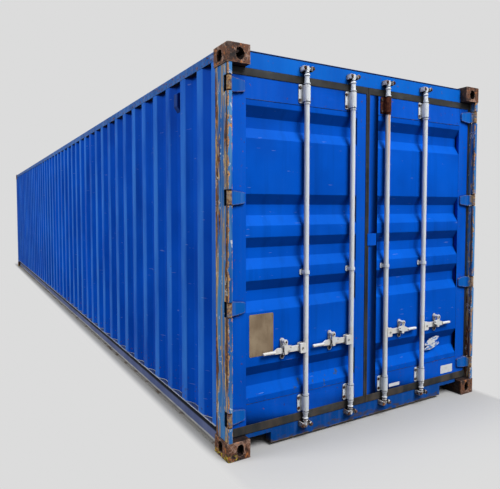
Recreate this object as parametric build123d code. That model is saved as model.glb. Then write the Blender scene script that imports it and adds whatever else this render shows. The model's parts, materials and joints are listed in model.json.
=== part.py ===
from build123d import *

import math
import os

# A 40 ft steel shipping container, in millimetres. X runs along the length with the doors
# at +X, Y runs across, Z is up, and the origin is the bottom centre of the whole box.
# Most sections are drawn as (u, v): u is the depth in from the door end plane (or from the
# front end plane), v is the depth in from the side plane.

# Overall size
LENGTH = 12192.0
WIDTH = 2438.0
HEIGHT = 2591.0
HX = LENGTH / 2
HY = WIDTH / 2

# Corner castings
CAST_X = 178.0
CAST_Y = 162.0
CAST_Z = 118.0
CAST_CORNER_R = 14.0
CAST_LOAD_PLATE = 28.5
CAST_WALL = 16.0
CAST_BACK_WALL = 14.0
SLOT_FROM_END = 103.5
SLOT_FROM_SIDE = 89.5
SLOT_LENGTH = 124.0
SLOT_WIDTH = 63.5
SIDE_HOLE_HEIGHT = 79.0
BOTTOM_HOLE_WIDTH = 51.0
TOP_HOLE_WIDTH = 63.5
HOLE_FROM_LOAD_FACE = 62.0

# Rear posts: a pressed plate outside, a rolled channel inside
POST_FACE_U = 3.0
POST_U = 168.0
POST_V = 6.0
POST_STEEL = 6.0
POST_BEND = 9.0
POST_LIP_V = 38.0
POST_RETURN_U = 64.0
POST_NOTCH = 50.0
CHANNEL_U0 = 66.0
CHANNEL_U1 = 178.0
CHANNEL_V1 = 49.0
CHANNEL_STEEL = 12.0

# Rails, header and sill
RAIL_BELOW_TOP = 14.0
TOP_RAIL = 60.0
TOP_RAIL_V = 4.0
TOP_RAIL_WALL = 3.0
RAIL_Z0 = 12.0
RAIL_Z1 = 168.0
RAIL_LEDGE_V = 2.0
RAIL_FOOT_V = 20.0
RAIL_WEB_V = 50.0
RAIL_STEEL = 4.5
DOOR_FACE_U = 60.0
STEP_U = 70.0
FRAME_BACK_U = 118.0
HEADER_DEPTH = 147.0
HEADER_FACE = 107.0
HEADER_STEEL = 4.0
SILL_Z0 = 20.0
SILL_FACE_TOP = 122.0
SILL_STEEL = 5.0
SILL_FALL = 1.0
SILL_NOTCH_LENGTH = 200.0
SILL_NOTCH_TOP = 95.0

# Front frame
FRONT_POST_U = 150.0
FRONT_POST_V = 110.0
FRONT_POST_FLAT = 50.0
FRONT_FACE_U = 4.0
FRONT_BACK_U = 64.0
FRONT_HEADER_DEPTH = 117.0
FRONT_HEADER_STEEL = 3.0
FRONT_SILL_TOP = 150.0
FRONT_SILL_STEEL = 4.0

# Sheet panels
SHEET = 2.0
WALL_OUT_V = 5.4
WALL_DEPTH = 36.0
WALL_PITCH = 278.0
WALL_OUT_FLAT = 72.0
WALL_IN_FLAT = 70.0
WALL_SLOPE = 68.0
WALL_FIRST_FLAT = 358.0
WALL_END_FLAT = 54.0
FRONT_DEPTH = 42.0
FRONT_PITCH = 250.0
FRONT_FLAT = 104.0
FRONT_SLOPE = 18.0
ROOF_DEPTH = 20.0
ROOF_PITCH = 209.0
ROOF_TROUGH = 118.0
ROOF_SLOPE = 13.0
ROOF_TROUGH_V = 134.0
ROOF_TROUGH_END = 25.0
ROOF_EDGE_V = 10.0
ROOF_END_MARGIN = 50.0
END_PLATE = 3.0

# Floor
FLOOR_Z0 = 144.0
FLOOR_Z1 = 172.0
BOARD_LENGTH = 1190.0
BOARD_CORNER_GAP = 2.0
MEMBER_SPACING = 402.0
MEMBER_Z0 = 22.0
MEMBER_TOP_FLANGE = 45.0
MEMBER_FOOT_FLANGE = 40.0
MEMBER_STEEL = 4.0
TUNNEL_LENGTH = 3315.0
TUNNEL_HALF = 514.5
TUNNEL_STEEL = 4.0
TUNNEL_Z = 120.0
OUTRIGGER_SPACING = 324.0

# Door leaves
PIN_U = 20.0
PIN_V = 22.0
PIN_R = 9.5
PIN_HALF = 60.0
KNUCKLE_R = 16.0
BORE_GAP = 0.8
BLADE_HALF = 46.0
KNUCKLE_HALF = 42.0
BLADE_TIP_V = 155.0
LUG = 15.0
LUG_GAP = 1.5
LUG_BEND_GAP = 1.0
HINGE_FOOT = 82.0
HINGE_HEAD = 70.0
HINGES = 4
LEAF_V = 55.0
LEAF_IN = 18.0
LEAF_DEPTH = 50.0
LEAF_FOOT_GAP = 8.0
LEAF_HEAD_GAP = 10.0
LEAF_TUBE_WALL = 3.2
OUTER_STILE = 112.0
INNER_STILE = 88.0
BOTTOM_BEAM = 138.0
TOP_BEAM = 141.0
PANEL_SET_BACK = 1.0
RECESS = 206.0
RECESS_FLAT = 70.0
RECESS_DEPTH = 36.0
RECESS_EDGE = 38.0
RECESS_SPACING = 280.0
GASKET_GAP = 1.5
GASKET_LIP = 5.5
GASKET_HEAD_GAP = 2.0
GASKET_FOOT_GAP = 4.0
STEM_BACK = 2.0
STEM_REACH = 4.5
STEM_FOOT_GAP = 2.5

# Locking gear
BAR_FROM_CENTRE = 175.0
BAR_SPACING = 415.0
BAR_U = 30.0
BAR_R = 17.0
BAR_GAP = 0.8
COLLAR_R = 21.0
COLLAR = 8.0
CAM_BELOW_SILL_TOP = 18.0
CAM_ABOVE_HEADER_FOOT = 45.0
CAM_HALF = 25.0
CAM_THICK = 16.0
CAM_LOBE_R = 13.0
KEEPER_IN = 30.0
KEEPER_STEEL = 8.0
KEEPER_HALF_HEIGHT = 17.0
KEEPER_NOSE_U = 4.0
KEEPER_HOOK = 20.5
GUIDE_FOOT = 10.0
GUIDE_LOW = 116.0
GUIDE_HEAD = 4.0
GUIDE_HIGH = 124.0
GUIDE_MID = 974.0
GUIDE_MID_HALF = 20.0
GUIDE_PLATE = 6.0
GUIDE_BOSS_R = 23.0
HUB_ABOVE_FOOT = 462.0
HUB_HALF = 33.0
HANDLE_PIN_Y = 38.0
HANDLE_PIN_R = 6.0
HANDLE_U0 = 30.0
HANDLE_U1 = 42.0
HANDLE_HALF = 18.0
HANDLE_REACH = 348.0
GRIP_R = 10.0
RETAINER_Y = 180.0
RETAINER_ABOVE_HUB = 8.0
RETAINER_HALF = 54.0
CATCH_ABOVE_HUB = 60.0
CATCH_U0 = 12.0
CATCH_U1 = 17.5
CATCH_PIN_R = 7.0
HEX_R = 8.0

# Heights and places that follow from the sizes above
RAIL_TOP_Z = HEIGHT - RAIL_BELOW_TOP
HEADER_Z0 = RAIL_TOP_Z - HEADER_DEPTH
HEADER_FACE_Z0 = RAIL_TOP_Z - HEADER_FACE
FRONT_HEADER_Z0 = RAIL_TOP_Z - FRONT_HEADER_DEPTH
LEAF_Z0 = FLOOR_Z1 + LEAF_FOOT_GAP
LEAF_Z1 = HEADER_Z0 - LEAF_HEAD_GAP
LEAF_OUT = HY - LEAF_V
STILE_OUT = LEAF_OUT - OUTER_STILE
STILE_IN = LEAF_IN + INNER_STILE
BOTTOM_BEAM_Z = LEAF_Z0 + BOTTOM_BEAM
TOP_BEAM_Z = LEAF_Z1 - TOP_BEAM
LEAF_BACK_U = DOOR_FACE_U + LEAF_DEPTH
POST_INNER_V = POST_V + POST_STEEL
POST_Z0 = CAST_Z
POST_Z1 = HEIGHT - CAST_Z
CAST_EDGE_Y = HY - CAST_Y
FRONT_POST_Y = HY - FRONT_POST_V
TUNNEL_OUT = TUNNEL_HALF + TUNNEL_STEEL
HUB_Z = LEAF_Z0 + HUB_ABOVE_FOOT
RETAINER_Z = HUB_Z + RETAINER_ABOVE_HUB
CATCH_PIN_Z = HUB_Z + CATCH_ABOVE_HUB
BAR_Y = (BAR_FROM_CENTRE + BAR_SPACING, BAR_FROM_CENTRE)
CAM_Z = (SILL_FACE_TOP - CAM_BELOW_SILL_TOP, HEADER_FACE_Z0 + CAM_ABOVE_HEADER_FOOT)
GUIDES = (
    (LEAF_Z0 + GUIDE_FOOT, LEAF_Z0 + GUIDE_FOOT + GUIDE_LOW),
    (LEAF_Z0 + GUIDE_MID - GUIDE_MID_HALF, LEAF_Z0 + GUIDE_MID + GUIDE_MID_HALF),
    (LEAF_Z1 - GUIDE_HEAD - GUIDE_HIGH, LEAF_Z1 - GUIDE_HEAD))
hinge_low = LEAF_Z0 + HINGE_FOOT
hinge_step = (LEAF_Z1 - HINGE_HEAD - hinge_low) / (HINGES - 1)
HINGE_Z = [hinge_low + k * hinge_step for k in range(HINGES)]

# Round stock and bends get few faces, because so many of them repeat. Cutting shapes run a
# little past what they cut.
ROUND_SIDES = 12
SMALL_SIDES = 8
BEND_STEPS = 2
CUT_PAST = 1.0

os.makedirs("parts", exist_ok=True)


def box(x0, x1, y0, y1, z0, z1):
    return Solid.make_box(x1 - x0, y1 - y0, z1 - z0, Plane(origin=(x0, y0, z0)))


def rod(point, direction, radius, length):
    return Solid.make_cylinder(radius, length, Plane(origin=point, z_dir=direction))


def prism_z(points, z0, z1):
    face = Face(Wire.make_polygon([(x, y, z0) for x, y in points]))
    return Solid.extrude(face, (0, 0, z1 - z0))


def prism_x(points, x0, x1):
    face = Face(Wire.make_polygon([(x0, y, z) for y, z in points]))
    return Solid.extrude(face, (x1 - x0, 0, 0))


def prism_y(points, y0, y1):
    face = Face(Wire.make_polygon([(x, y0, z) for x, z in points]))
    return Solid.extrude(face, (0, y1 - y0, 0))


def arc(centre, radius, start, end, steps):
    """Points on an arc, from one angle to another in degrees."""
    points = []
    for k in range(steps + 1):
        turn = math.radians(start + (end - start) * k / steps)
        points.append((centre[0] + radius * math.cos(turn), centre[1] + radius * math.sin(turn)))
    return points


def circle(centre, radius, sides):
    """A regular outline whose flats touch the circle's radius from outside."""
    reach = radius / math.cos(math.pi / sides)
    half = 180.0 / sides
    return arc(centre, reach, half, 360.0 - half, sides - 1)


def bent(points, radii):
    """The outline with its corners rounded, each by a few chords. A radius of 0 stays sharp."""
    outline = []
    count = len(points)
    for i in range(count):
        before, corner, after = points[i - 1], points[i], points[(i + 1) % count]
        if radii[i] == 0:
            outline.append(corner)
            continue
        back = (before[0] - corner[0], before[1] - corner[1])
        ahead = (after[0] - corner[0], after[1] - corner[1])
        back_length = math.hypot(*back)
        ahead_length = math.hypot(*ahead)
        cosine = (back[0] * ahead[0] + back[1] * ahead[1]) / (back_length * ahead_length)
        reach = min(radii[i] / math.tan(math.acos(cosine) / 2), 0.48 * back_length, 0.48 * ahead_length)
        for k in range(BEND_STEPS + 1):
            t = k / BEND_STEPS
            p = (1 - t) ** 2 * reach / back_length
            q = t ** 2 * reach / ahead_length
            outline.append((corner[0] + back[0] * p + ahead[0] * q, corner[1] + back[1] * p + ahead[1] * q))
    return outline


def inset(points, wall):
    """The outline moved inward by the wall's thickness."""
    count = len(points)
    area = sum(points[i - 1][0] * points[i][1] - points[i][0] * points[i - 1][1] for i in range(count))
    side = math.copysign(1.0, area)
    normals = []
    for i in range(count):
        dx = points[(i + 1) % count][0] - points[i][0]
        dy = points[(i + 1) % count][1] - points[i][1]
        length = math.hypot(dx, dy)
        normals.append((-dy / length * side, dx / length * side))
    moved = []
    for i in range(count):
        a, b = normals[i - 1], normals[i]
        k = wall / (1 + a[0] * b[0] + a[1] * b[1])
        moved.append((points[i][0] + (a[0] + b[0]) * k, points[i][1] + (a[1] + b[1]) * k))
    return moved


def turned(x, y, profile):
    """A turned piece on a vertical axis, from (z, radius) pairs."""
    rings = []
    for z, radius in profile:
        rings.append(Wire.make_polygon([(a, b, z) for a, b in circle((x, y), radius, ROUND_SIDES)]))
    return Solid.make_loft(rings, True)


def stud(x0, x1, y, z, radius, sides=SMALL_SIDES):
    """Round or hexagonal stock along X."""
    return prism_x(circle((y, z), radius, sides), x0, x1)


def join(solids):
    total = solids[0]
    for solid in solids[1:]:
        total = total + solid
    return total


def cut(solid, tools):
    for tool in tools:
        solid = solid - tool
    return solid


def flip_y(shape):
    return shape.mirror(Plane.XZ)


def flip_x(shape):
    return shape.mirror(Plane.YZ)


def both_sides(shape):
    return [shape, flip_y(shape)]


def save(name, shapes):
    solids = []
    for shape in shapes:
        solids.extend(shape.solids())
    if len(solids) == 1:
        body = solids[0]
    else:
        body = Compound(children=solids)
    body.label = name
    export_step(body, "parts/" + name + ".step")
    print(name, len(solids), "solids")


# The door end on the left (-Y) side, in (u, v)
def du(u):
    return HX - u


def dv(v):
    return -HY + v


def uv_prism(points, z0, z1):
    return prism_z([(du(u), dv(v)) for u, v in points], z0, z1)


def uv_box(u0, u1, v0, v1, z0, z1):
    return box(du(u1), du(u0), dv(v0), dv(v1), z0, z1)


# Corner castings: hollow blocks with a twistlock slot and two lashing holes
def upright_hole(across, z, height, width):
    """The outline of a lashing hole: an upright slot with round ends."""
    half = (height - width) / 2
    return (arc((across, z + half), width / 2, 0, 180, SMALL_SIDES // 2)
            + arc((across, z - half), width / 2, 180, 360, SMALL_SIDES // 2))


def casting(top):
    base = HEIGHT - CAST_Z if top else 0.0
    load_face = HEIGHT if top else 0.0
    inward = -1.0 if top else 1.0
    hole_z = load_face + inward * HOLE_FROM_LOAD_FACE
    hole_width = TOP_HOLE_WIDTH if top else BOTTOM_HOLE_WIDTH
    corners = [(0, 0), (CAST_X, 0), (CAST_X, CAST_Y), (0, CAST_Y)]
    block = uv_prism(bent(corners, [CAST_CORNER_R, 0, 0, 0]), base, base + CAST_Z)
    room = sorted((load_face + inward * CAST_LOAD_PLATE, load_face + inward * (CAST_Z - CAST_WALL)))
    cavity = uv_box(CAST_WALL, CAST_X - CAST_BACK_WALL, CAST_WALL, CAST_Y - CAST_BACK_WALL, room[0], room[1])
    slot_z = sorted((load_face - inward * CUT_PAST, load_face + inward * (CAST_LOAD_PLATE + CUT_PAST)))
    half = (SLOT_LENGTH - SLOT_WIDTH) / 2
    slot_depth = slot_z[1] - slot_z[0]
    slot = box(du(SLOT_FROM_END) - half, du(SLOT_FROM_END) + half, dv(SLOT_FROM_SIDE) - SLOT_WIDTH / 2,
               dv(SLOT_FROM_SIDE) + SLOT_WIDTH / 2, slot_z[0], slot_z[1])
    for x in (du(SLOT_FROM_END) - half, du(SLOT_FROM_END) + half):
        slot = slot + rod((x, dv(SLOT_FROM_SIDE), slot_z[0]), (0, 0, 1), SLOT_WIDTH / 2, slot_depth)
    end_hole = prism_x(upright_hole(dv(SLOT_FROM_SIDE), hole_z, SIDE_HOLE_HEIGHT, hole_width),
                       du(CAST_WALL + CUT_PAST), du(-CUT_PAST))
    side_hole = prism_y(upright_hole(du(SLOT_FROM_END), hole_z, SIDE_HOLE_HEIGHT, hole_width),
                        dv(-CUT_PAST), dv(CAST_WALL + CUT_PAST))
    return cut(block, [cavity, slot, end_hole, side_hole])


for casting_name, at_top in (("bottom_corner_castings", False), ("top_corner_castings", True)):
    near_pair = both_sides(casting(at_top))
    save(casting_name, near_pair + [flip_x(shape) for shape in near_pair])

# Rear posts: a pressed plate with a lip and a return, notched at each hinge
post_section = [
    (POST_U, POST_V), (POST_FACE_U, POST_V), (POST_FACE_U, POST_LIP_V), (POST_RETURN_U, POST_LIP_V),
    (POST_RETURN_U, POST_LIP_V - POST_STEEL), (POST_FACE_U + POST_STEEL, POST_LIP_V - POST_STEEL),
    (POST_FACE_U + POST_STEEL, POST_INNER_V), (POST_U, POST_INNER_V)]
inner_bend = POST_BEND - POST_STEEL
post_bends = [0, POST_BEND, POST_BEND, 0, 0, inner_bend, inner_bend, 0]
outer_post = uv_prism(bent(post_section, post_bends), POST_Z0, POST_Z1)
notches = []
for z in HINGE_Z:
    notches.append(uv_box(-CUT_PAST, DOOR_FACE_U, -CUT_PAST, POST_LIP_V + CUT_PAST,
                          z - POST_NOTCH, z + POST_NOTCH))
    notches.append(uv_box(DOOR_FACE_U - CUT_PAST, POST_RETURN_U + CUT_PAST, RAIL_FOOT_V, POST_LIP_V + CUT_PAST,
                          z - POST_NOTCH, z + POST_NOTCH))
outer_post = cut(outer_post, notches)
save("rear_corner_posts", both_sides(outer_post))

channel_section = [
    (CHANNEL_U0, POST_INNER_V), (CHANNEL_U0, CHANNEL_V1), (CHANNEL_U1, CHANNEL_V1),
    (CHANNEL_U1, POST_INNER_V), (CHANNEL_U1 - CHANNEL_STEEL, POST_INNER_V),
    (CHANNEL_U1 - CHANNEL_STEEL, CHANNEL_V1 - CHANNEL_STEEL),
    (CHANNEL_U0 + CHANNEL_STEEL, CHANNEL_V1 - CHANNEL_STEEL), (CHANNEL_U0 + CHANNEL_STEEL, POST_INNER_V)]
save("rear_post_channels", both_sides(uv_prism(channel_section, POST_Z0, POST_Z1)))

# Hinge lugs and pins, fixed in the posts above and below each notch
lug_v0 = POST_INNER_V
lug_v1 = POST_LIP_V - POST_STEEL
lug_u0 = POST_FACE_U + POST_STEEL
lug_outline = bent(
    [(lug_u0, lug_v0), (2 * PIN_U, lug_v0), (2 * PIN_U, lug_v1), (lug_u0, lug_v1)],
    [inner_bend + LUG_BEND_GAP, 0, 0, inner_bend + LUG_BEND_GAP])
lug_start = KNUCKLE_HALF + LUG_GAP
lugs = []
pins = []
for z in HINGE_Z:
    for z0 in (z - lug_start - LUG, z + lug_start):
        bore = prism_z(circle((du(PIN_U), dv(PIN_V)), PIN_R, SMALL_SIDES), z0 - CUT_PAST, z0 + LUG + CUT_PAST)
        lugs.extend(both_sides(uv_prism(lug_outline, z0, z0 + LUG) - bore))
    pins.extend(both_sides(rod((du(PIN_U), dv(PIN_V), z - PIN_HALF), (0, 0, 1), PIN_R, 2 * PIN_HALF)))
save("hinge_lugs", lugs)
save("hinge_pins", pins)

# Door header and sill, box sections between the castings that reach the posts past them
web_y = HY - CHANNEL_V1
x_face = HX - DOOR_FACE_U
x_back = HX - FRAME_BACK_U
x_step = HX - STEP_U
header_outline = [
    (x_face, HEADER_FACE_Z0), (x_face, RAIL_TOP_Z), (x_back, RAIL_TOP_Z), (x_back, HEADER_Z0),
    (x_step, HEADER_Z0), (x_step, HEADER_FACE_Z0)]
header_tube = prism_y(header_outline, -CAST_EDGE_Y, CAST_EDGE_Y)
header_room = prism_y(inset(header_outline, HEADER_STEEL), -CAST_EDGE_Y, CAST_EDGE_Y)
header_ends = both_sides(box(x_back, x_step, CAST_EDGE_Y, web_y, HEADER_Z0, POST_Z1))
save("door_header", [join([header_tube - header_room] + header_ends)])

sill_step_z = FLOOR_Z1 - MEMBER_STEEL
sill_outline = [
    (x_face, SILL_Z0), (x_face, SILL_FACE_TOP), (x_step, SILL_FACE_TOP + SILL_FALL), (x_step, sill_step_z),
    (x_back, FLOOR_Z1), (x_back, SILL_Z0)]
sill_tube = prism_y(sill_outline, -CAST_EDGE_Y, CAST_EDGE_Y)
sill_room = prism_y(inset(sill_outline, SILL_STEEL), -CAST_EDGE_Y, CAST_EDGE_Y)
notch_y = -CAST_EDGE_Y + SILL_NOTCH_LENGTH
lining_y = notch_y + SILL_STEEL
lining_z = SILL_NOTCH_TOP + SILL_STEEL
lining_top = box(x_back, x_face, -CAST_EDGE_Y, lining_y, SILL_NOTCH_TOP, lining_z)
lining_end = box(x_back, x_face, notch_y, lining_y, SILL_Z0, lining_z)
sill_notch = box(x_back - CUT_PAST, x_face + CUT_PAST, -CAST_EDGE_Y - CUT_PAST, notch_y,
                 SILL_Z0 - CUT_PAST, SILL_NOTCH_TOP)
sill_parts = [sill_tube - sill_room]
for shape in (box(x_back, x_step, CAST_EDGE_Y, web_y, CAST_Z, sill_step_z), lining_top, lining_end):
    sill_parts.extend(both_sides(shape))
save("door_sill", [cut(join(sill_parts), both_sides(sill_notch))])

# Front posts, header and sill
front_section = [
    (POST_FACE_U, POST_V), (POST_FACE_U, FRONT_POST_V), (FRONT_POST_FLAT, FRONT_POST_V),
    (FRONT_POST_U, FRONT_POST_FLAT), (FRONT_POST_U, POST_V)]


def front_prism(points):
    return prism_z([(-HX + u, -HY + v) for u, v in points], POST_Z0, POST_Z1)


front_post = front_prism(front_section) - front_prism(inset(front_section, POST_STEEL))
save("front_corner_posts", both_sides(front_post))

fx0 = -HX + FRONT_FACE_U
fx1 = -HX + FRONT_BACK_U
wing_x = -HX + FRONT_POST_FLAT


def front_beam(z0, z1, steel, wing_z0, wing_z1):
    """A tube across the front, with a solid wing over each casting to the post."""
    outline = [(fx0, z0), (fx1, z0), (fx1, z1), (fx0, z1)]
    tube = prism_y(outline, -CAST_EDGE_Y, CAST_EDGE_Y)
    tube = tube - prism_y(inset(outline, steel), -CAST_EDGE_Y, CAST_EDGE_Y)
    return join([tube] + both_sides(box(fx0, wing_x, CAST_EDGE_Y, FRONT_POST_Y, wing_z0, wing_z1)))


save("front_header", [front_beam(FRONT_HEADER_Z0, RAIL_TOP_Z, FRONT_HEADER_STEEL, FRONT_HEADER_Z0, POST_Z1)])
front_sill = front_beam(SILL_Z0, FRONT_SILL_TOP, FRONT_SILL_STEEL, CAST_Z, FRONT_SILL_TOP)
tunnel_mouth = box(fx0 - CUT_PAST, fx1 + CUT_PAST, -TUNNEL_OUT, TUNNEL_OUT,
                   SILL_Z0 - CUT_PAST, TUNNEL_Z + TUNNEL_STEEL)
save("front_sill", [front_sill - tunnel_mouth])

# Bottom rails: channels open outward, running over the castings to the posts
web_back = RAIL_WEB_V - RAIL_STEEL
rail_section = [
    (RAIL_LEDGE_V, RAIL_Z1), (RAIL_WEB_V, RAIL_Z1), (RAIL_WEB_V, RAIL_Z0), (RAIL_FOOT_V, RAIL_Z0),
    (RAIL_FOOT_V, RAIL_Z0 + RAIL_STEEL), (web_back, RAIL_Z0 + RAIL_STEEL), (web_back, RAIL_Z1 - RAIL_STEEL),
    (RAIL_LEDGE_V, RAIL_Z1 - RAIL_STEEL)]
bottom_rail = prism_x([(dv(v), z) for v, z in rail_section], -HX + FRONT_POST_U, HX - CAST_X)
bottom_rail = bottom_rail - box(-HX, -HX + CAST_X, -HY, -HY + CAST_Y, 0, CAST_Z)
save("left_bottom_rail", [bottom_rail])
save("right_bottom_rail", [flip_y(bottom_rail)])

# Top rails: square tubes between the castings
rail_x = HX - CAST_X
rail_z0 = RAIL_TOP_Z - TOP_RAIL
tube_outline = [
    (dv(TOP_RAIL_V), rail_z0), (dv(TOP_RAIL_V + TOP_RAIL), rail_z0),
    (dv(TOP_RAIL_V + TOP_RAIL), RAIL_TOP_Z), (dv(TOP_RAIL_V), RAIL_TOP_Z)]
top_rail = prism_x(tube_outline, -rail_x, rail_x) - prism_x(inset(tube_outline, TOP_RAIL_WALL), -rail_x, rail_x)
save("left_top_rail", [top_rail])
save("right_top_rail", [flip_y(top_rail)])

# Side walls: vertical corrugation, one pressed sheet per side
wall_in_v = WALL_OUT_V + WALL_DEPTH
wall_end = LENGTH - FRONT_POST_U
wall_ribs = int((wall_end - WALL_FIRST_FLAT) / WALL_PITCH)


def wall_line(offset):
    first_out = POST_U + WALL_END_FLAT
    line = [(POST_U, WALL_OUT_V), (first_out, WALL_OUT_V)]
    line.append((first_out + WALL_SLOPE / 2, wall_in_v))
    line.append((WALL_FIRST_FLAT - WALL_SLOPE, wall_in_v))
    for k in range(wall_ribs):
        u = WALL_FIRST_FLAT + k * WALL_PITCH
        line.append((u, WALL_OUT_V))
        line.append((u + WALL_OUT_FLAT, WALL_OUT_V))
        line.append((u + WALL_OUT_FLAT + WALL_SLOPE, wall_in_v))
        line.append((u + WALL_OUT_FLAT + WALL_SLOPE + WALL_IN_FLAT, wall_in_v))
    line.append((WALL_FIRST_FLAT + wall_ribs * WALL_PITCH, WALL_OUT_V))
    line.append((wall_end, WALL_OUT_V))
    return [(u, v + offset) for u, v in line]


side_wall = uv_prism(wall_line(0.0) + wall_line(SHEET)[::-1], RAIL_Z1, rail_z0)
over_casting = uv_box(0, CAST_X, 0, CAST_Y, POST_Z1, HEIGHT)
side_wall = cut(side_wall, [over_casting, flip_x(over_casting)])
save("left_side_wall", [side_wall])
save("right_side_wall", [flip_y(side_wall)])


# Front wall: wider vertical corrugation between the front posts
def front_line(offset):
    u_out = WALL_OUT_V + offset
    u_in = u_out + FRONT_DEPTH
    ribs = int(FRONT_POST_Y / FRONT_PITCH)
    line = [(u_in, -FRONT_POST_Y)]
    for k in range(-ribs, ribs + 1):
        centre = k * FRONT_PITCH
        line.append((u_in, centre - FRONT_FLAT / 2 - FRONT_SLOPE))
        line.append((u_out, centre - FRONT_FLAT / 2))
        line.append((u_out, centre + FRONT_FLAT / 2))
        line.append((u_in, centre + FRONT_FLAT / 2 + FRONT_SLOPE))
    line.append((u_in, FRONT_POST_Y))
    return [(-HX + u, y) for u, y in line]


save("front_wall", [prism_z(front_line(0.0) + front_line(SHEET)[::-1], FRONT_SILL_TOP, FRONT_HEADER_Z0)])

# Roof: one sheet with pressed transverse troughs, closed by slopes at both ends
roof_half_x = HX - CAST_X
roof_half_y = HY - ROOF_EDGE_V
trough_y = HY - ROOF_TROUGH_V
trough_floor_y = trough_y - ROOF_TROUGH_END
trough_count = int((2 * roof_half_x - 2 * ROOF_END_MARGIN) / ROOF_PITCH)


def roof_faces(z, up):
    faces = []

    def add(points):
        loop = [(x, y, z + h) for x, y, h in points]
        if not up:
            loop = loop[::-1]
        faces.append(Face(Wire.make_polygon(loop)))

    y1 = trough_y
    y2 = trough_floor_y
    h = -ROOF_DEPTH
    edge = [(-roof_half_x, y1, 0)]
    flat_from = -roof_half_x
    for k in range(trough_count):
        centre = (k - (trough_count - 1) / 2) * ROOF_PITCH
        a = centre - ROOF_TROUGH / 2
        b = a + ROOF_SLOPE
        e = centre + ROOF_TROUGH / 2
        d = e - ROOF_SLOPE
        add([(flat_from, -y1, 0), (a, -y1, 0), (a, y1, 0), (flat_from, y1, 0)])
        add([(a, -y1, 0), (b, -y2, h), (b, y2, h), (a, y1, 0)])
        add([(b, -y2, h), (d, -y2, h), (d, y2, h), (b, y2, h)])
        add([(d, -y2, h), (e, -y1, 0), (e, y1, 0), (d, y2, h)])
        add([(a, -y1, 0), (e, -y1, 0), (d, -y2, h), (b, -y2, h)])
        add([(b, y2, h), (d, y2, h), (e, y1, 0), (a, y1, 0)])
        edge.append((a, y1, 0))
        edge.append((e, y1, 0))
        flat_from = e
    add([(flat_from, -y1, 0), (roof_half_x, -y1, 0), (roof_half_x, y1, 0), (flat_from, y1, 0)])
    edge.append((roof_half_x, y1, 0))
    add(edge + [(roof_half_x, roof_half_y, 0), (-roof_half_x, roof_half_y, 0)])
    low = [(x, -y, h) for x, y, h in edge]
    add(low[::-1] + [(-roof_half_x, -roof_half_y, 0), (roof_half_x, -roof_half_y, 0)])
    return faces


def roof_rim(z0, z1):
    corners = [
        (-roof_half_x, -roof_half_y), (roof_half_x, -roof_half_y), (roof_half_x, -trough_y),
        (roof_half_x, trough_y), (roof_half_x, roof_half_y), (-roof_half_x, roof_half_y),
        (-roof_half_x, trough_y), (-roof_half_x, -trough_y)]
    faces = []
    for i in range(len(corners)):
        p = corners[i]
        q = corners[(i + 1) % len(corners)]
        loop = [(p[0], p[1], z0), (q[0], q[1], z0), (q[0], q[1], z1), (p[0], p[1], z1)]
        faces.append(Face(Wire.make_polygon(loop)))
    return faces


roof_top = RAIL_TOP_Z + SHEET
roof_shell = Shell(roof_faces(roof_top, True) + roof_faces(RAIL_TOP_Z, False) + roof_rim(RAIL_TOP_Z, roof_top))
save("roof", [Solid(roof_shell)])

rear_plate = box(rail_x, x_face, -CAST_EDGE_Y, CAST_EDGE_Y, RAIL_TOP_Z, RAIL_TOP_Z + END_PLATE)
front_plate = box(fx0, -rail_x, -CAST_EDGE_Y, CAST_EDGE_Y, RAIL_TOP_Z, RAIL_TOP_Z + END_PLATE)
save("roof_end_plates", [rear_plate, front_plate])

# Vent covers high in the side walls, in a trough near each end
VENT_DROP = 57.0
VENT_HEIGHT = 150.0
VENT_LENGTH = 66.0
VENT_FACE_V = 12.0
VENT_SLOPE_TOP = 14.0
VENT_SLOPE_FOOT = 44.0
vent_top = rail_z0 - VENT_DROP
vent_section = [
    (wall_in_v, vent_top), (VENT_FACE_V, vent_top - VENT_SLOPE_TOP),
    (VENT_FACE_V, vent_top - VENT_HEIGHT + VENT_SLOPE_FOOT), (wall_in_v, vent_top - VENT_HEIGHT)]
vents = []
for k in (1, wall_ribs - 2):
    trough_u = WALL_FIRST_FLAT + k * WALL_PITCH + WALL_OUT_FLAT + WALL_SLOPE
    vent_u = trough_u + (WALL_IN_FLAT - VENT_LENGTH) / 2
    cover = prism_x([(dv(v), z) for v, z in vent_section], du(vent_u + VENT_LENGTH), du(vent_u))
    vents.extend(both_sides(cover))
save("vent_covers", vents)

# Floor boards on cross members, and the gooseneck tunnel at the front
floor_y = HY - RAIL_WEB_V
board_count = round((x_back - fx1) / BOARD_LENGTH)
boards = []
for k in range(board_count):
    a = fx1 + (x_back - fx1) * k / board_count
    b = fx1 + (x_back - fx1) * (k + 1) / board_count
    boards.append(box(a, b, -floor_y, floor_y, FLOOR_Z0, FLOOR_Z1))
post_corner = box(-HX, -HX + FRONT_POST_U + BOARD_CORNER_GAP, -HY, -FRONT_POST_Y + BOARD_CORNER_GAP,
                  FLOOR_Z0 - CUT_PAST, FLOOR_Z1 + CUT_PAST)
boards[0] = cut(boards[0], both_sides(post_corner))
save("floor_panels", boards)


def c_section(x, y0, y1):
    web = x - MEMBER_STEEL
    points = [
        (x, MEMBER_Z0), (x, FLOOR_Z0), (x - MEMBER_TOP_FLANGE, FLOOR_Z0),
        (x - MEMBER_TOP_FLANGE, FLOOR_Z0 - MEMBER_STEEL), (web, FLOOR_Z0 - MEMBER_STEEL),
        (web, MEMBER_Z0 + MEMBER_STEEL), (x - MEMBER_FOOT_FLANGE, MEMBER_Z0 + MEMBER_STEEL),
        (x - MEMBER_FOOT_FLANGE, MEMBER_Z0)]
    return prism_y(points, y0, y1)


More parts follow.
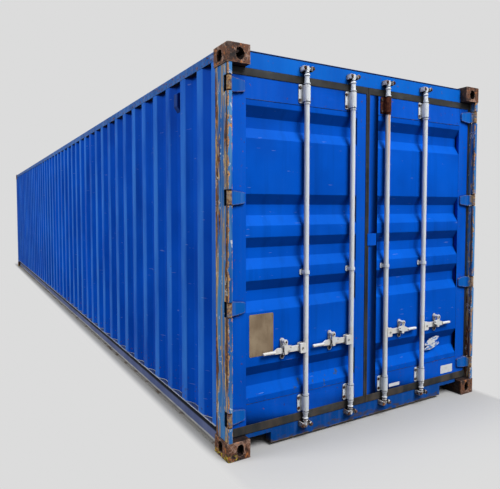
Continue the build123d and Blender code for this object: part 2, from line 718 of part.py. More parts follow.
FIRST_MEMBER_GAP = 60.0
LAST_MEMBER_GAP = 260.0
FIRST_OUTRIGGER = 330.0
LAST_OUTRIGGER = 70.0
BATTEN = 60.0
tunnel_x = -HX + TUNNEL_LENGTH
member_from = tunnel_x + FIRST_MEMBER_GAP
member_run = x_back - LAST_MEMBER_GAP - member_from
member_steps = round(member_run / MEMBER_SPACING)
members = []
for k in range(member_steps + 1):
    members.append(c_section(member_from + member_run * k / member_steps, -floor_y, floor_y))
save("cross_members", members)

tunnel_z = TUNNEL_Z + TUNNEL_STEEL
outrigger_run = TUNNEL_LENGTH - FIRST_OUTRIGGER - LAST_OUTRIGGER
outrigger_steps = round(outrigger_run / OUTRIGGER_SPACING)
outriggers = []
battens = []
for k in range(outrigger_steps + 1):
    x = -HX + FIRST_OUTRIGGER + outrigger_run * k / outrigger_steps
    outriggers.extend(both_sides(c_section(x, -floor_y, -TUNNEL_OUT)))
    batten_x = x - MEMBER_TOP_FLANGE
    battens.append(box(batten_x, batten_x + BATTEN, -TUNNEL_OUT, TUNNEL_OUT, tunnel_z, FLOOR_Z0))
save("tunnel_outriggers", outriggers)

tunnel = box(fx0, tunnel_x, -TUNNEL_OUT, TUNNEL_OUT, TUNNEL_Z, tunnel_z)
tunnel_sides = both_sides(box(fx0, tunnel_x, TUNNEL_HALF, TUNNEL_OUT, SILL_Z0, TUNNEL_Z))
bolster = box(tunnel_x - MEMBER_STEEL, tunnel_x, -floor_y, floor_y, MEMBER_Z0, FLOOR_Z0)
save("gooseneck_tunnel", [join([tunnel, bolster] + tunnel_sides + battens)])

# Cam keepers on the header and the sill: a back plate with two hooked ears at each bar end
KEEPER_PLATE = 2.5
KEEPER_NOSE = 7.5
KEEPER_NOSE_R = 12.0
KEEPER_CORNER_R = 6.0
keeper_out = KEEPER_IN + KEEPER_STEEL
keeper_back = DOOR_FACE_U - KEEPER_PLATE
keeper_nose = KEEPER_NOSE_U + KEEPER_NOSE
ear_side = [
    (KEEPER_NOSE_U, -KEEPER_HALF_HEIGHT), (DOOR_FACE_U, -KEEPER_HALF_HEIGHT),
    (DOOR_FACE_U, KEEPER_HALF_HEIGHT), (KEEPER_NOSE_U, KEEPER_HALF_HEIGHT)]
ear_trim = bent(ear_side, [KEEPER_NOSE_R, 0, 0, KEEPER_NOSE_R])
keepers = []
for y in BAR_Y:
    for z in CAM_Z:
        parts = [box(HX - DOOR_FACE_U, HX - keeper_back, -y - keeper_out, -y + keeper_out,
                     z - KEEPER_HALF_HEIGHT, z + KEEPER_HALF_HEIGHT)]
        for s in (-1, 1):
            ear = [
                (DOOR_FACE_U, KEEPER_IN), (DOOR_FACE_U, keeper_out), (KEEPER_NOSE_U, keeper_out),
                (KEEPER_NOSE_U, KEEPER_HOOK), (keeper_nose, KEEPER_HOOK), (keeper_nose, KEEPER_IN)]
            hook = prism_z([(HX - u, -y + s * d) for u, d in bent(ear, [0, 0, KEEPER_CORNER_R, 0, 0, 0])],
                           z - KEEPER_HALF_HEIGHT, z + KEEPER_HALF_HEIGHT)
            side_trim = prism_y([(HX - u, z + h) for u, h in ear_trim],
                                -y - keeper_out - CUT_PAST, -y + keeper_out + CUT_PAST)
            parts.append(hook & side_trim)
        keepers.extend(both_sides(join(parts)))
save("cam_keepers", keepers)

# One door leaf, drawn as the left one: a frame of four tubes round a pressed panel
leaf_x0 = HX - LEAF_BACK_U


def stile(y0, y1):
    outline = [(leaf_x0, y0), (x_face, y0), (x_face, y1), (leaf_x0, y1)]
    tube = prism_z(outline, LEAF_Z0, LEAF_Z1)
    return tube - prism_z(inset(outline, LEAF_TUBE_WALL), LEAF_Z0, LEAF_Z1)


def beam(z0, z1):
    outline = [(leaf_x0, z0), (x_face, z0), (x_face, z1), (leaf_x0, z1)]
    tube = prism_y(outline, -STILE_OUT, -STILE_IN)
    return tube - prism_y(inset(outline, LEAF_TUBE_WALL), -STILE_OUT, -STILE_IN)


leaf_frame = [
    stile(-LEAF_OUT, -STILE_OUT), stile(-STILE_IN, -LEAF_IN),
    beam(LEAF_Z0, BOTTOM_BEAM_Z), beam(TOP_BEAM_Z, LEAF_Z1)]

panel_mid = (BOTTOM_BEAM_Z + TOP_BEAM_Z) / 2 + RECESS / 2
recess_tops = (
    TOP_BEAM_Z - RECESS_EDGE, panel_mid + RECESS_SPACING, panel_mid, panel_mid - RECESS_SPACING,
    BOTTOM_BEAM_Z + RECESS_EDGE + RECESS)
recess_slope = (RECESS - RECESS_FLAT) / 2


def panel_line(offset):
    u = DOOR_FACE_U + PANEL_SET_BACK + offset
    line = [(u, TOP_BEAM_Z)]
    for top in recess_tops:
        line.append((u, top))
        line.append((u + RECESS_DEPTH, top - recess_slope))
        line.append((u + RECESS_DEPTH, top - recess_slope - RECESS_FLAT))
        line.append((u, top - RECESS))
    line.append((u, BOTTOM_BEAM_Z))
    return [(HX - a, z) for a, z in line]


leaf_panel = prism_y(panel_line(0.0) + panel_line(SHEET)[::-1], -STILE_OUT, -STILE_IN)

# The gasket: a wide lip in front of the gap round the leaf, on a stem that fills the gap
lip_x0 = x_face - GASKET_GAP
lip_y1 = HY - POST_LIP_V - GASKET_GAP
stem_y1 = HY - CHANNEL_V1 - GASKET_GAP
stem_y0 = LEAF_IN - STEM_REACH
stem_x0 = leaf_x0 + STEM_BACK
lip = box(lip_x0, lip_x0 + GASKET_LIP, -lip_y1, -GASKET_GAP,
          SILL_FACE_TOP + GASKET_FOOT_GAP, HEADER_FACE_Z0 - GASKET_HEAD_GAP)
lip = lip - box(lip_x0 - CUT_PAST, HX, -LEAF_OUT, -LEAF_IN, LEAF_Z0, LEAF_Z1)
stem = box(stem_x0, lip_x0, -stem_y1, -stem_y0, FLOOR_Z1 + STEM_FOOT_GAP, HEADER_Z0 - STEM_REACH)
stem = stem - box(stem_x0 - CUT_PAST, HX, -LEAF_OUT, -LEAF_IN, LEAF_Z0, LEAF_Z1)
leaf_gasket = lip + stem

# Hinge blades: a knuckle on the pin, a neck round the post's lip and a tapered forged blade
BLADE_ROOT_U = 40.0
BLADE_TIP_U = 46.0
BLADE_ROOT_V = 57.0
BLADE_TIP_HALF = 33.0
BLADE_NOSE_R = 8.0
BLADE_CORNER_R = 14.0
NECK_BACK_U = 54.0
NECK_BACK_V = 34.0
NECK_HEEL_U = 35.0
NECK_HEEL_V = 26.0
neck = [(PIN_U, PIN_V), (PIN_U, POST_LIP_V), (BLADE_ROOT_U, BLADE_ROOT_V),
        (NECK_BACK_U, BLADE_ROOT_V), (NECK_BACK_U, NECK_BACK_V), (NECK_HEEL_U, NECK_HEEL_V)]
blade_side = bent(
    [(BLADE_ROOT_U, BLADE_ROOT_V), (BLADE_TIP_U, BLADE_TIP_V), (DOOR_FACE_U, BLADE_TIP_V),
     (DOOR_FACE_U, BLADE_ROOT_V)], [0, BLADE_NOSE_R, 0, 0])
blades = []
for z in HINGE_Z:
    axis = (du(PIN_U), dv(PIN_V))
    knuckle = prism_z(circle(axis, KNUCKLE_R, ROUND_SIDES), z - KNUCKLE_HALF, z + KNUCKLE_HALF)
    plate = uv_prism(blade_side, z - BLADE_HALF, z + BLADE_HALF)
    taper = bent(
        [(dv(BLADE_ROOT_V), z - BLADE_HALF), (dv(BLADE_TIP_V), z - BLADE_TIP_HALF),
         (dv(BLADE_TIP_V), z + BLADE_TIP_HALF), (dv(BLADE_ROOT_V), z + BLADE_HALF)],
        [0, BLADE_CORNER_R, BLADE_CORNER_R, 0])
    hole = prism_z(circle(axis, PIN_R + BORE_GAP, ROUND_SIDES),
                   z - KNUCKLE_HALF - CUT_PAST, z + KNUCKLE_HALF + CUT_PAST)
    blade = (knuckle + uv_prism(neck, z - KNUCKLE_HALF, z + KNUCKLE_HALF)) - hole
    blades.append(blade + (plate & prism_x(taper, du(DOOR_FACE_U + CUT_PAST), HX)))

# Guides that hold each locking bar to the leaf: a bolted plate with a half-round boss
GUIDE_WIDE = 50.0
GUIDE_NARROW = 36.0
GUIDE_BOSS_END = 8.0
GUIDE_CORNER_R = 12.0
plate_x1 = x_face + GUIDE_PLATE


def guide(y, z0, z1, half):
    corners = [(-y - half, z0), (-y + half, z0), (-y + half, z1), (-y - half, z1)]
    base = prism_x(bent(corners, [GUIDE_CORNER_R] * len(corners)), x_face, plate_x1)
    front = arc((HX - BAR_U, -y), GUIDE_BOSS_R, -90, 90, ROUND_SIDES // 2)
    boss = prism_z([(x_face, -y - GUIDE_BOSS_R)] + front + [(x_face, -y + GUIDE_BOSS_R)],
                   z0 + GUIDE_BOSS_END, z1 - GUIDE_BOSS_END)
    bore = prism_z(circle((HX - BAR_U, -y), BAR_R + BAR_GAP, ROUND_SIDES), z0 - CUT_PAST, z1 + CUT_PAST)
    return (base + boss) - bore


# Handle retainers: a plate with a round lobe at each end, a hook under the handle and the catch's pin
LOBE_R = 18.0
LOBE_HALF_TURN = 130.0
LOBE_STEPS = 5
WAIST = 12.0
HOOK_HALF = 14.0
HOOK_SEAT = 8.0
HOOK_STEEL = 10.5
HOOK_FRONT_U = 20.0
HOOK_TIP = 5.0
HANDLE_SEAT_GAP = 0.5
CATCH_GAP = 0.5
CATCH_WASHER_R = 12.0
CATCH_HEAD = 4.0
catch_head_x = HX - CATCH_U0 + CATCH_GAP


def retainer(y):
    ry = -y - RETAINER_Y
    low = (ry, RETAINER_Z - RETAINER_HALF)
    high = (ry, RETAINER_Z + RETAINER_HALF)
    lobes = arc(high, LOBE_R, 90 - LOBE_HALF_TURN, 90 + LOBE_HALF_TURN, LOBE_STEPS)
    lobes += arc(low, LOBE_R, 270 - LOBE_HALF_TURN, 270 + LOBE_HALF_TURN, LOBE_STEPS)
    waist = [(ry - WAIST, low[1]), (ry + WAIST, low[1]), (ry + WAIST, high[1]), (ry - WAIST, high[1])]
    hook_top = HUB_Z - HANDLE_HALF - HANDLE_SEAT_GAP
    hook_foot = hook_top - HOOK_SEAT
    hook = [
        (DOOR_FACE_U - GUIDE_PLATE, hook_foot), (HOOK_FRONT_U, hook_foot),
        (HOOK_FRONT_U, hook_top + HOOK_STEEL), (HOOK_FRONT_U + HOOK_TIP, hook_top + HOOK_STEEL),
        (HOOK_FRONT_U + HOOK_TIP, hook_top), (DOOR_FACE_U - GUIDE_PLATE, hook_top)]
    parts = [
        prism_x(lobes, x_face, plate_x1),
        prism_x(waist, x_face, plate_x1),
        prism_y([(HX - u, z) for u, z in hook], ry - HOOK_HALF, ry + HOOK_HALF),
        stud(plate_x1, HX - CATCH_U1 - CATCH_GAP, ry, CATCH_PIN_Z, CATCH_WASHER_R),
        rod((plate_x1, ry, CATCH_PIN_Z), (1, 0, 0), CATCH_PIN_R, catch_head_x + CATCH_GAP - plate_x1),
        stud(catch_head_x, catch_head_x + CATCH_HEAD, ry, CATCH_PIN_Z, CATCH_WASHER_R)]
    return join(parts)


guides = []
retainers = []
for y in BAR_Y:
    for (z0, z1), half in zip(GUIDES, (GUIDE_WIDE, GUIDE_NARROW, GUIDE_WIDE)):
        guides.append(guide(y, z0, z1, half))
    retainers.append(retainer(y))

for side in ("left", "right"):
    keep = flip_y if side == "right" else (lambda shape: shape)
    save(side + "_door_frame", [keep(s) for s in leaf_frame])
    save(side + "_door_panel", [keep(leaf_panel)])
    save(side + "_door_gasket", [keep(leaf_gasket)])
    save(side + "_hinge_blades", [keep(s) for s in blades])
    save(side + "_bar_brackets", [keep(s) for s in guides])
    save(side + "_handle_retainers", [keep(s) for s in retainers])

# A plate on the right leaf that laps over the gap, so that the right leaf opens first
COVER_HEIGHT = 90.0
COVER_WIDTH = 90.0
COVER_LAP = 1.0
COVER_U = 50.0
COVER_LIP_GAP = 0.5
COVER_RISE = 10.0
cover_front = DOOR_FACE_U + GASKET_GAP - GASKET_LIP - COVER_LIP_GAP
cover_step = LEAF_IN + COVER_LAP
cover_section = [
    (COVER_U, COVER_LAP), (COVER_U, COVER_WIDTH), (DOOR_FACE_U, COVER_WIDTH), (DOOR_FACE_U, cover_step),
    (cover_front, cover_step), (cover_front, COVER_LAP)]
cover_outline = [(HX - u, y) for u, y in cover_section]
cover_z0 = (LEAF_Z0 + LEAF_Z1) / 2 + COVER_RISE
save("centre_cover_plate", [prism_z(cover_outline, cover_z0, cover_z0 + COVER_HEIGHT)])

# Locking bars, handles and catches, drawn for the left leaf with the handle toward -Y
HUB_NEAR = 8.0
HUB_FAR = 58.0
HUB_U0 = 12.0
HUB_U1 = 50.0
HUB_SLOT_GAP = 3.0
HUB_SLOT_NEAR = 15.0
HUB_CORNER_R = 8.0
HUB_BOLT = 3.0
BOLT_SIDES = 6
JOURNAL_R = 17.7
JOURNAL_LAP = 5.0
COLLAR_CHAMFER = 1.0
NECK_R = 13.0
# Each pair is a distance from the cam's middle and a radius: the tip, a ring on the neck, the
# shoulder and the cone that widens to the tube
cam_end = [(-18, NECK_R), (20, NECK_R), (24, 18), (28, NECK_R), (42, 20), (50, 15)]


def bar_end(y, cam_z, collar_z):
    """From the cam's tip to the collar at the guide, with two rings on the neck."""
    away = math.copysign(1.0, collar_z - cam_z)
    profile = [(cam_z + away * d, r) for d, r in cam_end]
    profile.append((collar_z, BAR_R))
    profile.append((collar_z + away * COLLAR_CHAMFER, COLLAR_R))
    profile.append((collar_z + away * COLLAR, COLLAR_R))
    reach = CAM_HALF - CAM_LOBE_R
    steps = SMALL_SIDES // 2
    outline = arc((-y + reach, cam_z), CAM_LOBE_R, -90, 90, steps)
    outline += arc((-y - reach, cam_z), CAM_LOBE_R, 90, 270, steps)
    lobes = prism_x(outline, HX - BAR_U - CAM_THICK / 2, HX - BAR_U + CAM_THICK / 2)
    return [turned(HX - BAR_U, -y, profile), lobes]


def locking_bar(y):
    x = HX - BAR_U
    low, mid, high = GUIDES
    tube = prism_z(circle((x, -y), BAR_R, ROUND_SIDES), low[0] - COLLAR / 2, high[1] + COLLAR / 2)
    journal = rod((x, -y, mid[0] - JOURNAL_LAP), (0, 0, 1), JOURNAL_R, mid[1] - mid[0] + 2 * JOURNAL_LAP)
    parts = [tube, journal]
    parts += bar_end(y, CAM_Z[0], low[0] - COLLAR)
    parts += bar_end(y, CAM_Z[1], high[1] + COLLAR)
    for z in (low[1], high[0] - COLLAR):
        parts.append(prism_z(circle((x, -y), COLLAR_R, ROUND_SIDES), z, z + COLLAR))
    hub_side = [
        (-y - HUB_FAR, HUB_Z - HUB_HALF), (-y - HUB_NEAR, HUB_Z - HUB_HALF),
        (-y - HUB_NEAR, HUB_Z + HUB_HALF), (-y - HUB_FAR, HUB_Z + HUB_HALF)]
    hub = prism_x(bent(hub_side, [HUB_CORNER_R, 0, 0, HUB_CORNER_R]), HX - HUB_U1, HX - HUB_U0)
    slot = box(HX - HANDLE_U1 - HUB_SLOT_GAP, HX - HANDLE_U0 + HUB_SLOT_GAP, -y - HUB_FAR - CUT_PAST,
               -y - HUB_SLOT_NEAR, HUB_Z - HUB_HALF - CUT_PAST, HUB_Z + HUB_HALF + CUT_PAST)
    pin = rod((HX - HUB_U1, -y - HANDLE_PIN_Y, HUB_Z), (1, 0, 0), HANDLE_PIN_R, HUB_U1 - HUB_U0)
    bolt = stud(HX - HUB_U0, HX - HUB_U0 + HUB_BOLT, -y - HANDLE_PIN_Y, HUB_Z, HEX_R, BOLT_SIDES)
    return join(parts + [hub - slot, pin, bolt])


# The handle: a flat forging that narrows to a round grip in line with its lower edge
FLAT_END = 232.0
CRANK = 32.0
GRIP_LAP = 12.0
EYE_GAP = 0.7
FLAT_CORNER_R = 20.0
CRANK_CORNER_R = 6.0
CRANK_NECK = 16.0
GRIP_RISE = 12.0
GRIP_SET_BACK = 4.0
GRIP_END = 6.0
GRIP_END_R = 7.0


def handle(y):
    py = -y - HANDLE_PIN_Y
    x0 = HX - HANDLE_U1
    x1 = HX - HANDLE_U0
    foot = HUB_Z - HANDLE_HALF
    head = HUB_Z + HANDLE_HALF
    crank_y = -y - FLAT_END - CRANK
    grip_z = foot + GRIP_RISE
    outline = bent(
        [(py, foot), (py, head), (-y - FLAT_END, head), (crank_y, foot + CRANK_NECK), (crank_y, foot)],
        [0, 0, FLAT_CORNER_R, 0, CRANK_CORNER_R])
    eye = stud(x0, x1, py, HUB_Z, HANDLE_HALF)
    grip_x = HX - HANDLE_U0 - GRIP_SET_BACK
    grip_profile = (
        (FLAT_END + CRANK - GRIP_LAP, GRIP_R), (HANDLE_REACH - GRIP_END, GRIP_R), (HANDLE_REACH, GRIP_END_R))
    rings = []
    for along, radius in grip_profile:
        points = circle((grip_x, grip_z), radius, SMALL_SIDES)
        rings.append(Wire.make_polygon([(a, -y - along, b) for a, b in points]))
    grip = Solid.make_loft(rings, True)
    hole = stud(x0 - CUT_PAST, x1 + CUT_PAST, py, HUB_Z, HANDLE_PIN_R + EYE_GAP)
    return join([eye, prism_x(outline, x0, x1), grip]) - hole


# The catch: a plate that hangs in front of the handle, with a tab for a padlock. Its toe and
# its tab are places from the pin, along the leaf and downward.
CATCH_EYE_R = 16.0
CATCH_ARM_HALF = 15.0
CATCH_TOE_NEAR = 17.0
CATCH_TOE_FAR = 9.0
CATCH_DROP = 84.0
CATCH_CORNER_R = 8.0
TAB_ROOT = 10.0
TAB_TIP = 52.0
TAB_ROOT_DROP = (22.0, 66.0)
TAB_TIP_DROP = (30.0, 54.0)
LOCK_HOLE_OUT = 38.0
LOCK_HOLE_DROP = 42.0
LOCK_HOLE_R = 6.0


def catch(y):
    ry = -y - RETAINER_Y
    x0 = HX - CATCH_U1
    x1 = HX - CATCH_U0
    z = CATCH_PIN_Z
    eye = stud(x0, x1, ry, z, CATCH_EYE_R)
    arm_outline = [
        (ry - CATCH_ARM_HALF, z), (ry + CATCH_ARM_HALF, z), (ry + CATCH_TOE_NEAR, z - CATCH_DROP),
        (ry - CATCH_TOE_FAR, z - CATCH_DROP)]
    arm = prism_x(bent(arm_outline, [0, 0, CATCH_CORNER_R, CATCH_CORNER_R]), x0, x1)
    tab_outline = [
        (ry + TAB_ROOT, z - TAB_ROOT_DROP[0]), (ry + TAB_TIP, z - TAB_TIP_DROP[0]),
        (ry + TAB_TIP, z - TAB_TIP_DROP[1]), (ry + TAB_ROOT, z - TAB_ROOT_DROP[1])]
    tab = prism_x(bent(tab_outline, [0, CATCH_CORNER_R, CATCH_CORNER_R, 0]), x0, x1)
    pin_hole = stud(x0 - CUT_PAST, x1 + CUT_PAST, ry, z, CATCH_PIN_R + EYE_GAP)
    lock_hole = stud(x0 - CUT_PAST, x1 + CUT_PAST, ry + LOCK_HOLE_OUT, z - LOCK_HOLE_DROP, LOCK_HOLE_R)
    return cut(join([eye, arm, tab]), [pin_hole, lock_hole])


for place, y in (("outer", BAR_Y[0]), ("inner", BAR_Y[1])):
    for kind, shape in (("locking_bar", locking_bar(y)), ("handle", handle(y)), ("catch", catch(y))):
        save("left_" + place + "_" + kind, [shape])
        save("right_" + place + "_" + kind, [flip_y(shape)])
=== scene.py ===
# %% [markdown]
# A 40 ft steel shipping container, dressed around its CAD model. The construction is already
# there: castings, posts, rails, door leaves and locking gear, each at its real size. This
# lesson gives every piece its finish and adds what the press shop, the welder and years at
# sea add: rounded bends, weld beads, bolts, chipped paint and rust.
#
# Everything is in metres. X runs along the length with the doors at +X, Z is up, and the
# origin is the bottom centre of the box.

import json
import math
import random

import bmesh
import bpy
from mathutils import Matrix, Vector

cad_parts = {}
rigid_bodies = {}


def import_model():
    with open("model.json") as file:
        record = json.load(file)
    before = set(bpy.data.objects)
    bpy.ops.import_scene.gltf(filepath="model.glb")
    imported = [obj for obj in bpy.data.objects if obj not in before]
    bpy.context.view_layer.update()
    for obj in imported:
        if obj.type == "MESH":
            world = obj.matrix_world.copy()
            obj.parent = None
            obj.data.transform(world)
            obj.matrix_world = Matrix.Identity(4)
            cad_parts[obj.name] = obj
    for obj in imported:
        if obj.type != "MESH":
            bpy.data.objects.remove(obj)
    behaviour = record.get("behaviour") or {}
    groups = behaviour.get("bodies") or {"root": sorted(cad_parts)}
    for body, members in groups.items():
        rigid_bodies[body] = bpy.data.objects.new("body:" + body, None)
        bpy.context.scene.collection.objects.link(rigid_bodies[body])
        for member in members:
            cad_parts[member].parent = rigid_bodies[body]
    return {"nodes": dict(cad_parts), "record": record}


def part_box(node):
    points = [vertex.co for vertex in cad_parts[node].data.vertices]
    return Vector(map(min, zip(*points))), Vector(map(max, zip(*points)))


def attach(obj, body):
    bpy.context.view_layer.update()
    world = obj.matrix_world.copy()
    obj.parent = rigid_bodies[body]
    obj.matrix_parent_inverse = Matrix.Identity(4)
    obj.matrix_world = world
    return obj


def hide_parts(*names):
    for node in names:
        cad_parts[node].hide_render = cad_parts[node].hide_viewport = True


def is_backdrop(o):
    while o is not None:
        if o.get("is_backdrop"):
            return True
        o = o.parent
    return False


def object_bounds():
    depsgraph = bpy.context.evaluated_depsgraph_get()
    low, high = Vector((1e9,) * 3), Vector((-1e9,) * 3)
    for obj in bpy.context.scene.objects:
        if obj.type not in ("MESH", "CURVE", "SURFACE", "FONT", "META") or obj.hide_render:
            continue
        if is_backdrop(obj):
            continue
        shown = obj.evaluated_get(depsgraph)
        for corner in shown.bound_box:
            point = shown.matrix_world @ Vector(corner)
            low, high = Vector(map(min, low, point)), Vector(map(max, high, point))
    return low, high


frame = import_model()
cad_low, cad_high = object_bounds()
NODES = frame["nodes"]
HALF_LENGTH = cad_high.x
HALF_WIDTH = cad_high.y
MM = 0.001

# %% [markdown]
# The photograph was taken low and close, a few metres from the door end, with a wide lens.
# The camera's place and angles were fitted once to corners whose real places are known, so
# here they are plain numbers. The small shift stands for a photograph that was cropped off
# centre.

# %% Camera
PHOTO_WIDTH = 500.0
PHOTO_HEIGHT = 489.0
FOCAL_PIXELS = 475.05
AXIS_COLUMN = 217.4
AXIS_ROW = 232.0
CAMERA_PLACE = Vector((8.6053, -2.6490, 1.5786))
CAMERA_YAW = math.radians(151.58)
CAMERA_PITCH = math.radians(-2.65)
CAMERA_ROLL = math.radians(-0.19)
SENSOR = 36.0
CLIP = (0.05, 200.0)


def camera_axes(yaw, pitch, roll):
    """Right, up and backward directions of a camera with these angles."""
    level = math.cos(pitch)
    forward = Vector((math.cos(yaw) * level, math.sin(yaw) * level, math.sin(pitch)))
    level_right = forward.cross(Vector((0, 0, 1))).normalized()
    level_up = level_right.cross(forward)
    right = level_right * math.cos(roll) + level_up * math.sin(roll)
    up = level_up * math.cos(roll) - level_right * math.sin(roll)
    return right, up, -forward


def put(thing, **settings):
    """Set several properties of one thing, and hand it back."""
    for key, value in settings.items():
        setattr(thing, key, value)
    return thing


def link(name, data):
    """A new object in the scene, with its mesh, lamp or camera."""
    made = bpy.data.objects.new(name, data)
    bpy.context.scene.collection.objects.link(made)
    return made


def make_camera():
    data = put(bpy.data.cameras.new("camera"), sensor_width=SENSOR, clip_start=CLIP[0], clip_end=CLIP[1],
               lens=FOCAL_PIXELS * SENSOR / PHOTO_WIDTH,
               shift_x=(PHOTO_WIDTH / 2 - AXIS_COLUMN) / PHOTO_WIDTH,
               shift_y=(AXIS_ROW - PHOTO_HEIGHT / 2) / PHOTO_WIDTH)
    camera = link("camera", data)
    right, up, back = camera_axes(CAMERA_YAW, CAMERA_PITCH, CAMERA_ROLL)
    turned = Matrix((right, up, back)).transposed().to_4x4()
    camera.matrix_world = Matrix.Translation(CAMERA_PLACE) @ turned
    bpy.context.scene.camera = camera
    print("camera: lens", round(data.lens, 2), "mm, shift", round(data.shift_x, 4), round(data.shift_y, 4))


bpy.context.scene.view_settings.view_transform = "Standard"
make_camera()

# %% [markdown]
# A finish is a small network of nodes. Each one starts from Object coordinates, which here
# are plain metres, so a streak of 10 mm is 10 mm on every piece. The class below keeps the
# wiring short. Its methods make masks, each a number from 0 to 1 at every place, and the
# colour is built up as a painter does it: a first tone, then one coat over the other.

# %% Helpers that wire materials
EVEN = (1, 1, 1)
BUMP_STRENGTH = 0.6


def fill(tree, node, inputs):
    """Link each named input to an output, or set it to a value."""
    for key, value in inputs.items():
        socket = node.inputs[key]
        if isinstance(value, bpy.types.NodeSocket):
            tree.links.new(value, socket)
        elif socket.type == "RGBA":
            socket.default_value = (*value, 1.0)
        else:
            socket.default_value = value


def add_node(tree, kind, inputs=None, **settings):
    made = put(tree.nodes.new(kind), **settings)
    fill(tree, made, inputs or {})
    return made


def math_node(tree, operation, a, b=0.0):
    return add_node(tree, "ShaderNodeMath", {0: a, 1: b}, operation=operation).outputs[0]


class Finish:
    """One material while it is being wired, with the colour as it stands so far."""

    def __init__(self, name):
        self.material = bpy.data.materials.new(name)
        self.material.use_nodes = True
        self.tree = self.material.node_tree
        self.place = self.add("TexCoord").outputs["Object"]
        self.axes = self.add("SeparateXYZ", {"Vector": self.place}).outputs
        self.colour = None

    def add(self, kind, inputs=None, **settings):
        return add_node(self.tree, "ShaderNode" + kind, inputs, **settings)

    def plus(self, a, b):
        return math_node(self.tree, "ADD", a, b)

    def minus(self, a, b):
        return math_node(self.tree, "SUBTRACT", a, b)

    def both(self, first, *others):
        for other in others:
            first = math_node(self.tree, "MULTIPLY", first, other)
        return first

    def either(self, first, *others):
        for other in others:
            first = math_node(self.tree, "MAXIMUM", first, other)
        return first

    def noise(self, scale, detail=3.0, stretch=EVEN, offset=0.0, roughness=0.55):
        moved = self.add("Mapping", {"Vector": self.place, "Scale": stretch,
                                     "Location": (offset, offset, offset)})
        texture = self.add("TexNoise", {"Vector": moved.outputs[0], "Scale": scale, "Detail": detail,
                                        "Roughness": roughness})
        return texture.outputs["Fac"]

    def band(self, value, low, high):
        """0 below low and 1 above high, or the other way round when low is the larger."""
        limits = {"Value": value, "From Min": low, "From Max": high}
        return self.add("MapRange", limits, clamp=True).outputs["Result"]

    def spots(self, low, high, scale, detail=3.0, stretch=EVEN, offset=0.0, roughness=0.55):
        """A band of a noise: few sharp spots when it is high and narrow."""
        return self.band(self.noise(scale, detail, stretch, offset, roughness), low, high)

    def where(self, axis, low, high):
        return self.band(self.axes[axis], low, high)

    def inside(self, axis, low, high, soft=0.01):
        """1 between two places along an axis, with soft ends."""
        return self.both(self.where(axis, low - soft, low), self.where(axis, high + soft, high))

    def out(self, axis):
        """Distance from the middle of the container along an axis."""
        return math_node(self.tree, "ABSOLUTE", self.axes[axis])

    def edge(self, reach):
        """Near 1 along outer edges, from rays sent inward: a corner of solid steel is thin there."""
        inward = self.add("AmbientOcclusion", {"Distance": reach}, samples=6, inside=True, only_local=True)
        return self.band(inward.outputs["AO"], 0.62, 0.30)

    def corner(self, reach):
        """Near 1 where surfaces meet in a nook, where the finishes lay painted shade."""
        outward = self.add("AmbientOcclusion", {"Distance": reach}, samples=6)
        return self.band(outward.outputs["AO"], 0.85, 0.35)

    def facing_up(self, low, high):
        """A band of how far a face looks upward: 1 for a roof, -1 for an underside."""
        normal = self.add("NewGeometry").outputs["Normal"]
        return self.band(self.add("SeparateXYZ", {"Vector": normal}).outputs["Z"], low, high)

    def mix(self, mask, under, over):
        return self.add("Mix", {0: mask, 6: under, 7: over}, data_type="RGBA").outputs[2]

    def start(self, mask, first, second):
        """The first layer: two tones of one paint."""
        self.colour = self.mix(mask, first, second)

    def coat(self, mask, over, share=1.0):
        """Lay a colour over what is there, where the mask says and by the share at most."""
        if share != 1.0:
            mask = self.both(mask, share)
        self.colour = self.mix(mask, self.colour, over)

    def finish(self, roughness, height=None, depth=0.001, metallic=0.0, specular=0.14):
        inputs = {"Base Color": self.colour, "Roughness": roughness, "Metallic": metallic,
                  "Specular IOR Level": specular}
        if height is not None:
            bumps = {"Height": height, "Distance": depth, "Strength": BUMP_STRENGTH}
            inputs["Normal"] = self.add("Bump", bumps).outputs[0]
        fill(self.tree, self.tree.nodes["Principled BSDF"], inputs)
        return self.material


# %% [markdown]
# Rust is never one brown. Old rust is nearly black, the common one is a dull red brown, and
# fresh rust under a chip is orange. One noise picks between the three, and every finish that
# rusts calls the same function, so that the whole container weathers alike.

# %% Rust and dirt colours, and those of painted shade and highlight
RUST_DARK = (0.045, 0.020, 0.011)
RUST = (0.150, 0.055, 0.022)
RUST_BRIGHT = (0.380, 0.140, 0.040)
# painted shade, laid in the nooks of steel, posts and castings
NOOK_SHADE = (0.010, 0.012, 0.018)
# dark blue for runs down the sheet paint, and painted shade on down-facing slopes and in the sheets' nooks
RUNS_AND_PAINTED_SHADE = (0.0005, 0.012, 0.070)
# painted highlight, laid on slopes that look up
PAINTED_SKY_HIGHLIGHT = (0.0003, 0.145, 0.680)
CHALK = (0.330, 0.410, 0.540)
# chalked paint; on the walls' proud flats it is also a painted highlight
CHALK_AND_SHEEN_BLUE = (0.060, 0.280, 0.820)


def rust_colour(f, offset):
    spread = f.noise(38.0, 5.0, offset=offset)
    fresher = f.mix(f.band(spread, 0.55, 0.75), RUST, RUST_BRIGHT)
    return f.mix(f.band(spread, 0.42, 0.62), RUST_DARK, fresher)


# %% [markdown]
# Paint on pressed sheet is thick, a little uneven and never clean. The leaf paint is a strong
# blue with slow changes of tone, faint runs down the face, thin scratches and a few chips
# that have rusted, more of them near the foot. Slopes that look down get painted shade, and
# those that look up get a painted highlight of sky blue; nooks get painted shade too. The
# parts of a wall that stand out furthest get a paler, duller coat, which is chalked paint
# rubbed by cargo and cranes and also a painted highlight of the light those flats catch. One
# patch near the foot of the left leaf is scuffed.

# %% Paint on the pressed sheets
SCUFF_SIDE = (-0.66, -0.26)
SCUFF_RANGE = (0.335, 0.450)
SCUFF = (0.045, 0.070, 0.060)
DOOR_END = (5.90, 5.95)
CHIP_HEIGHT = (0.40, 0.18)


